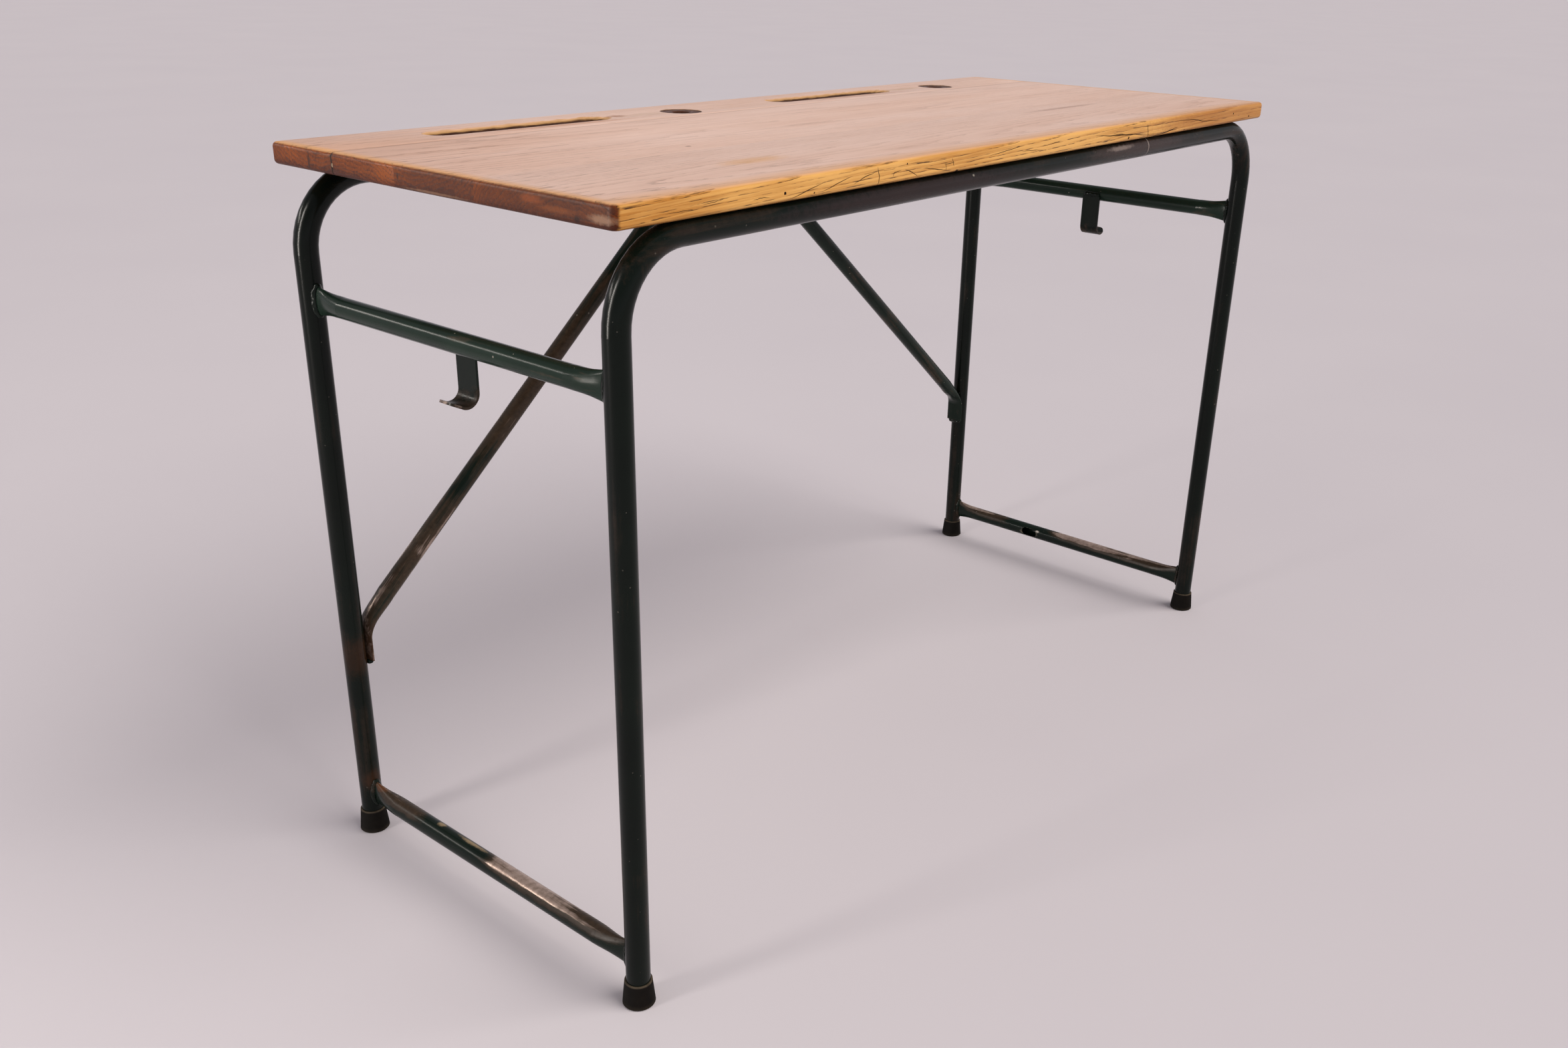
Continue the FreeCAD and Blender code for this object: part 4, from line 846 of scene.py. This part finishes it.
def hook_wear(tree, at, turned):
    """Straps have rubbed the bend of a hook brown and its tip bright."""
    low = add(tree, "ShaderNodeMapRange", {
        "Value": at["Z"], "From Min": HOOK_BEND_Z[0], "From Max": HOOK_BEND_Z[1],
        "To Max": 0.42}).outputs[0]
    out = add(tree, "ShaderNodeMath", {0: at["X"]}, operation="ABSOLUTE").outputs[0]
    tip = add(tree, "ShaderNodeMapRange", {
        "Value": out, "From Min": HOOK_TIP_X[0], "From Max": HOOK_TIP_X[1],
        "To Max": 0.42}).outputs[0]
    return low, tip


def foot_rail_wear(tree, at, turned):
    """Shoes have taken the paint off the top of a foot rail, most of all towards the pupils, and left
    the flared ends green."""
    upward = add(tree, "ShaderNodeMapRange", {
        "Value": turned["Z"], "From Min": 0.0, "From Max": 0.6}).outputs[0]
    ahead = add(tree, "ShaderNodeMapRange", {
        "Value": at["Y"], "From Min": FEET_Y[0], "From Max": FEET_Y[1]}).outputs[0]
    behind = add(tree, "ShaderNodeMapRange", {
        "Value": at["Y"], "From Min": REAR_STRETCH_Y[0], "From Max": REAR_STRETCH_Y[1],
        "To Max": 1.1}).outputs[0]
    worn = add(tree, "ShaderNodeMath", {0: ahead, 1: behind}, operation="ADD").outputs[0]
    worn = add(tree, "ShaderNodeMath", {0: worn, 1: upward}, operation="MULTIPLY").outputs[0]
    brown = add(tree, "ShaderNodeMath", {0: worn, 1: 0.6}, operation="MULTIPLY").outputs[0]
    top = add(tree, "ShaderNodeMapRange", {
        "Value": turned["Z"], "From Min": 0.25, "From Max": 0.8, "To Max": 0.66}).outputs[0]
    front_end = add(tree, "ShaderNodeMapRange", {
        "Value": at["Y"], "From Min": FRONT_END_Y[0], "From Max": FRONT_END_Y[1],
        "To Min": 0.5}).outputs[0]
    ahead = add(tree, "ShaderNodeMath", {0: ahead, 1: front_end}, operation="MULTIPLY").outputs[0]
    rubbed = add(tree, "ShaderNodeMath", {
        0: behind, 1: 0.5, 2: ahead}, operation="MULTIPLY_ADD").outputs[0]
    return brown, add(tree, "ShaderNodeMath", {0: rubbed, 1: top}, operation="MULTIPLY").outputs[0]


# Marks that are placed, in millimetres from the floor under the middle of the front rail's face, or
# under the middle of a side's foot rail: where knees and bags rub, chips, rust and dried dirt.
FRONT_RAIL = Vector((0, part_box("front_frame")[0].y, 0))
LEFT_FEET = Vector(((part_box("left_foot_rail")[0].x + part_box("left_foot_rail")[1].x) / 2, 0, 0))
RIGHT_FEET = -LEFT_FEET
FRONT_FRAME_MARKS = marks_from(FRONT_RAIL, (
    ((-200, 0, 737), (220, 30, 11), "#2c2222", 0.75),
    ((260, 0, 739), (150, 30, 10), "#3a2f2d", 0.75),
    ((274, 0, 738), (1.2, 30, 20), "#9c8f86", 0.6),
    ((205, 0, 742), (35, 10, 3), "#8d7f78", 0.5),
    ((-107, 0, 742), (2, 6, 1.5), "#a09a8e", 0.6),
))
REAR_FRAME_MARKS = marks_from(LEFT_FEET, (
    ((0, 216, 225), (30, 30, 30), "#3d2414", 0.4),
    ((0, 204, 68), (20, 12, 14), "#4a2c18", 0.3),
))
FOOT_RAIL_MARKS = marks_from(LEFT_FEET, (
    ((2, 192, 63), (10, 12, 6), "#6a4026", 0.6),
    ((3, 84, 61.5), (5, 7, 2), "#9c8768", 0.7),
    ((3, 30, 61.5), (4, 26, 1.4), "#9c8768", 0.7),
)) + marks_from(RIGHT_FEET, (
    ((-8, 40, 56), (4, 4, 2), "#d8d2c6", 0.9),
    ((-10, 55, 51), (3, 16.5, 8.8), "#a09684", 0.9),
))
BRACE_MARKS = marks_from(LEFT_FEET, (
    ((18, 216, 225), (12, 30, 35), "#4a2c17", 0.6),
))
BRACE_LOW, BRACE_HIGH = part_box("right_brace")
BRACE_LEAN = math.atan2(BRACE_HIGH.x - BRACE_LOW.x, BRACE_HIGH.z - BRACE_LOW.z)
# value paints light and shade into these copies of one enamel: the frames are darkened as painted shade,
# the side rails lightened as a painted reflection of the wall, and the braces lightened as a painted
# highlight
frame_finishes = {
    "front_frame": {
        "streak": UP_THE_LEG, "rail_streak": ALONG_THE_RAIL, "wear": front_frame_wear,
        "marks": FRONT_FRAME_MARKS, "value": 0.6},
    "rear_frame": {
        "streak": UP_THE_LEG, "rail_streak": ALONG_THE_RAIL, "wear": leg_wear,
        "marks": REAR_FRAME_MARKS, "value": 0.6},
    "side_rails": {"streak": ACROSS_THE_DESK, "wear": little_wear, "value": 3.1},
    "foot_rails": {
        "streak": ACROSS_THE_DESK, "wear": foot_rail_wear, "marks": FOOT_RAIL_MARKS, "value": 1.4},
    "braces": {
        "streak": UP_THE_BRACE, "wear": brace_wear, "marks": BRACE_MARKS, "value": 1.6,
        "lean": BRACE_LEAN},
    "hooks": {"streak": ALL_WAYS, "wear": hook_wear, "value": 1.3},
    "welds": {"streak": ALL_WAYS, "wear": leg_wear},
}
enamels = {
    parts: gloss_enamel(f"gloss_enamel_{parts}", **finish) for parts, finish in frame_finishes.items()}
for frame in ("front_frame", "rear_frame"):
    dress(frame, enamels[frame])
for side in ("left", "right"):
    for part in ("side_rail", "foot_rail", "brace", "hook"):
        dress(f"{side}_{part}", enamels[f"{part}s"])


# The weld beads. They were laid by hand, so they are lumpy under the paint. Each is remeshed finely,
# and then pushed out unevenly.
BEAD_VOXEL = 0.0008
LUMP_SIZE = 0.0045
LUMP_HEIGHT = 0.0008
# how much fuller a bead is all over, in lump heights
SWELL = 0.3


def lumpy_weld(node):
    piece = placed(f"{node}_lumpy", mesh_of(merged_copy(node), f"{node}_lumpy"))
    even = piece.modifiers.new("even", "REMESH")
    even.mode = "VOXEL"
    even.voxel_size = BEAD_VOXEL
    even.use_smooth_shade = True
    apply_modifiers(piece)
    piece.data.materials.clear()
    piece.data.materials.append(enamels["welds"])
    pushes = [
        vert.normal * LUMP_HEIGHT * (noise.noise(vert.co / LUMP_SIZE) + SWELL)
        for vert in piece.data.vertices]
    for vert, push in zip(piece.data.vertices, pushes):
        vert.co += push
    take_place(piece, node)


for node in sorted(name for name in nodes if name.endswith("_welds")):
    lumpy_weld(node)


# The ferrules. Black rubber feet pushed over the ends of the legs, scuffed, with grey dust on their
# upper rims and dirt of the floor at the bottom.
SCUFF = 0.0077
# the heights at which the dust on the rim, and the dirt at the foot, begins and is full
RIM_Z = (0.0252, 0.0266)
FOOT_Z = (0.006, 0.0)


def dusty_rubber(name):
    material, tree, place = new_material(name)
    height = add(tree, "ShaderNodeSeparateXYZ", {0: place}).outputs["Z"]
    scuffs = add(tree, "ShaderNodeTexNoise", {
        "Vector": place, "Scale": 1 / SCUFF, "Detail": 5, "Roughness": 0.65}).outputs["Fac"]
    rim = add(tree, "ShaderNodeMapRange", {
        "Value": height, "From Min": RIM_Z[0], "From Max": RIM_Z[1], "To Max": 0.8}).outputs[0]
    foot = add(tree, "ShaderNodeMapRange", {
        "Value": height, "From Min": FOOT_Z[0], "From Max": FOOT_Z[1], "To Max": 0.2}).outputs[0]
    settled = add(tree, "ShaderNodeMath", {0: rim, 1: foot}, operation="ADD").outputs[0]
    dust = add(tree, "ShaderNodeMath", {0: scuffs, 1: settled}, operation="MULTIPLY").outputs[0]
    dust = add(tree, "ShaderNodeMath", {
        0: scuffs, 1: 0.05, 2: dust}, operation="MULTIPLY_ADD").outputs[0]
    colour = add(tree, "ShaderNodeMixRGB", {
        "Fac": dust, "Color1": linear("#070606"), "Color2": linear("#6f6353")}).outputs[0]
    bump = add(tree, "ShaderNodeBump", {"Height": scuffs, "Strength": 0.4, "Distance": 0.0005}).outputs[0]
    show(tree, add(tree, "ShaderNodeBsdfPrincipled", {
        "Base Color": colour, "Roughness": 0.72, "Normal": bump, "Specular IOR Level": 0.08}))
    return material


rubber = dusty_rubber("dusty_rubber")
for row, side in (("front", "left"), ("front", "right"), ("rear", "left"), ("rear", "right")):
    dress(f"{row}_{side}_ferrule", rubber)


# The screws. Round-headed steel wood screws that go up through the rails into the top. The grit of
# their steel is drawn coarser than it is.
GRIT = 0.0014


def dull_steel(name):
    material, tree, place = new_material(name)
    grit = add(tree, "ShaderNodeTexNoise", {
        "Vector": place, "Scale": 1 / GRIT, "Detail": 3}).outputs["Fac"]
    colour = add(tree, "ShaderNodeMixRGB", {
        "Fac": grit, "Color1": linear("#8b857c"), "Color2": linear("#4e3c30")}).outputs[0]
    bump = add(tree, "ShaderNodeBump", {"Height": grit, "Strength": 0.3, "Distance": 0.0002}).outputs[0]
    show(tree, add(tree, "ShaderNodeBsdfPrincipled", {
        "Base Color": colour, "Metallic": 0.9, "Roughness": 0.45, "Normal": bump}))
    return material


steel = dull_steel("dull_steel")
for row in ("front", "rear"):
    dress(f"{row}_screws", steel)


# The studio: a plain pale floor without end under a sky that is brighter near the horizon. The floor
# gives back about as much light as the horizon sends, so that the line between them stays faint.
FLOOR_REACH = 60
FLOOR_CLOUD = 0.77
HORIZON = "#d6d1d7"
ZENITH_SHARE = 0.5


def pale_floor(name):
    material, tree, place = new_material(name)
    cloud = add(tree, "ShaderNodeTexNoise", {
        "Vector": place, "Scale": 1 / FLOOR_CLOUD, "Detail": 3}).outputs["Fac"]
    colour = add(tree, "ShaderNodeMixRGB", {
        "Fac": cloud, "Color1": linear("#cbc6cb"), "Color2": linear("#c6c1c7")}).outputs[0]
    show(tree, add(tree, "ShaderNodeBsdfPrincipled", {
        "Base Color": colour, "Roughness": 0.8, "Specular IOR Level": 0.1}))
    return material


sheet = bmesh.new()
bmesh.ops.create_grid(sheet, x_segments=1, y_segments=1, size=FLOOR_REACH)
floor = placed("floor", mesh_of(sheet, "floor"))
floor.data.materials.append(pale_floor("pale_floor"))

sky = bpy.data.worlds.new("sky")
sky.use_nodes = True
sky_tree = sky.node_tree
sky_way = add(sky_tree, "ShaderNodeTexCoord").outputs["Generated"]
sky_height = add(sky_tree, "ShaderNodeSeparateXYZ", {0: sky_way}).outputs["Z"]
sky_share = add(sky_tree, "ShaderNodeMapRange", {
    "Value": sky_height, "From Min": 0.05, "From Max": 0.45,
    "To Min": 1, "To Max": ZENITH_SHARE}).outputs[0]
sky_tree.nodes["Background"].inputs["Color"].default_value = linear(HORIZON)
sky_tree.links.new(sky_share, sky_tree.nodes["Background"].inputs["Strength"])
bpy.context.scene.world = sky
bpy.context.scene.view_settings.view_transform = "Standard"


def light(name, kind, energy, spot, aim, **settings):
    """A warm white lamp at a spot, turned to what it aims at."""
    lamp = bpy.data.lights.new(name, kind)
    lamp.energy = energy
    lamp.color = linear("#fff8f0")[:3]
    for setting, size in settings.items():
        setattr(lamp, setting, size)
    holder = placed(name, lamp)
    holder.location = spot
    holder.rotation_euler = (Vector(aim) - Vector(spot)).to_track_quat("-Z", "Y").to_euler()
    return holder


LEFT_HALF = (-0.4, 0, 0.5)
LEFT_SIDE = (-0.58, -0.05, 0.3)
sun = light("sun", "SUN", energy=3.0, spot=(0.3, -0.75, 0.75), aim=(0, 0, 0),
            angle=math.radians(50))
sun.visible_glossy = False
light("window", "AREA", energy=24, spot=(-2.7, 0.55, 1.3), aim=LEFT_HALF,
      shape="RECTANGLE", size=0.4, size_y=2.2)
# two strips that only the gloss sees, for the sharp lines of light along the tubes
strip = light("strip", "AREA", energy=48, spot=(-2.6, 0.7, 1.2), aim=LEFT_HALF,
              shape="RECTANGLE", size=0.16, size_y=2.0)
strip.visible_diffuse = False
far_strip = light("far_strip", "AREA", energy=16, spot=(-2.2, 2.2, 1.7), aim=LEFT_SIDE,
                  shape="RECTANGLE", size=1.5, size_y=0.2)
far_strip.visible_diffuse = False


# The camera stands where the photograph was taken: front left of the desk, above the top. Its place,
# turn and lens were fitted to the edges of the desk.
IMAGE_WIDTH, IMAGE_HEIGHT = 2346, 1568
FOCAL_PIXELS = 2066.48
CENTRE_X, CENTRE_Y = 1225.31, 790.19
CAMERA_SPOT = Vector((-1.31227, -1.01944, 0.95146))
YAW, PITCH, ROLL = (math.radians(angle) for angle in (-51.0427, -22.8067, 1.4454))

forward = Vector((-math.sin(YAW) * math.cos(PITCH), math.cos(YAW) * math.cos(PITCH), math.sin(PITCH)))
level = Vector((math.cos(YAW), math.sin(YAW), 0))
above = level.cross(forward)
rightward = math.cos(ROLL) * level + math.sin(ROLL) * above
upward = math.cos(ROLL) * above - math.sin(ROLL) * level
lens = bpy.data.cameras.new("camera")
lens.sensor_width = 36
lens.lens = FOCAL_PIXELS / IMAGE_WIDTH * lens.sensor_width
lens.shift_x = (IMAGE_WIDTH / 2 - CENTRE_X) / IMAGE_WIDTH
lens.shift_y = (CENTRE_Y - IMAGE_HEIGHT / 2) / IMAGE_WIDTH
lens.clip_start = 0.05
lens.clip_end = FLOOR_REACH
camera = placed("camera", lens)
camera_turn = Matrix((rightward, upward, -forward)).transposed().to_4x4()
camera.matrix_world = Matrix.Translation(CAMERA_SPOT) @ camera_turn
bpy.context.scene.camera = camera
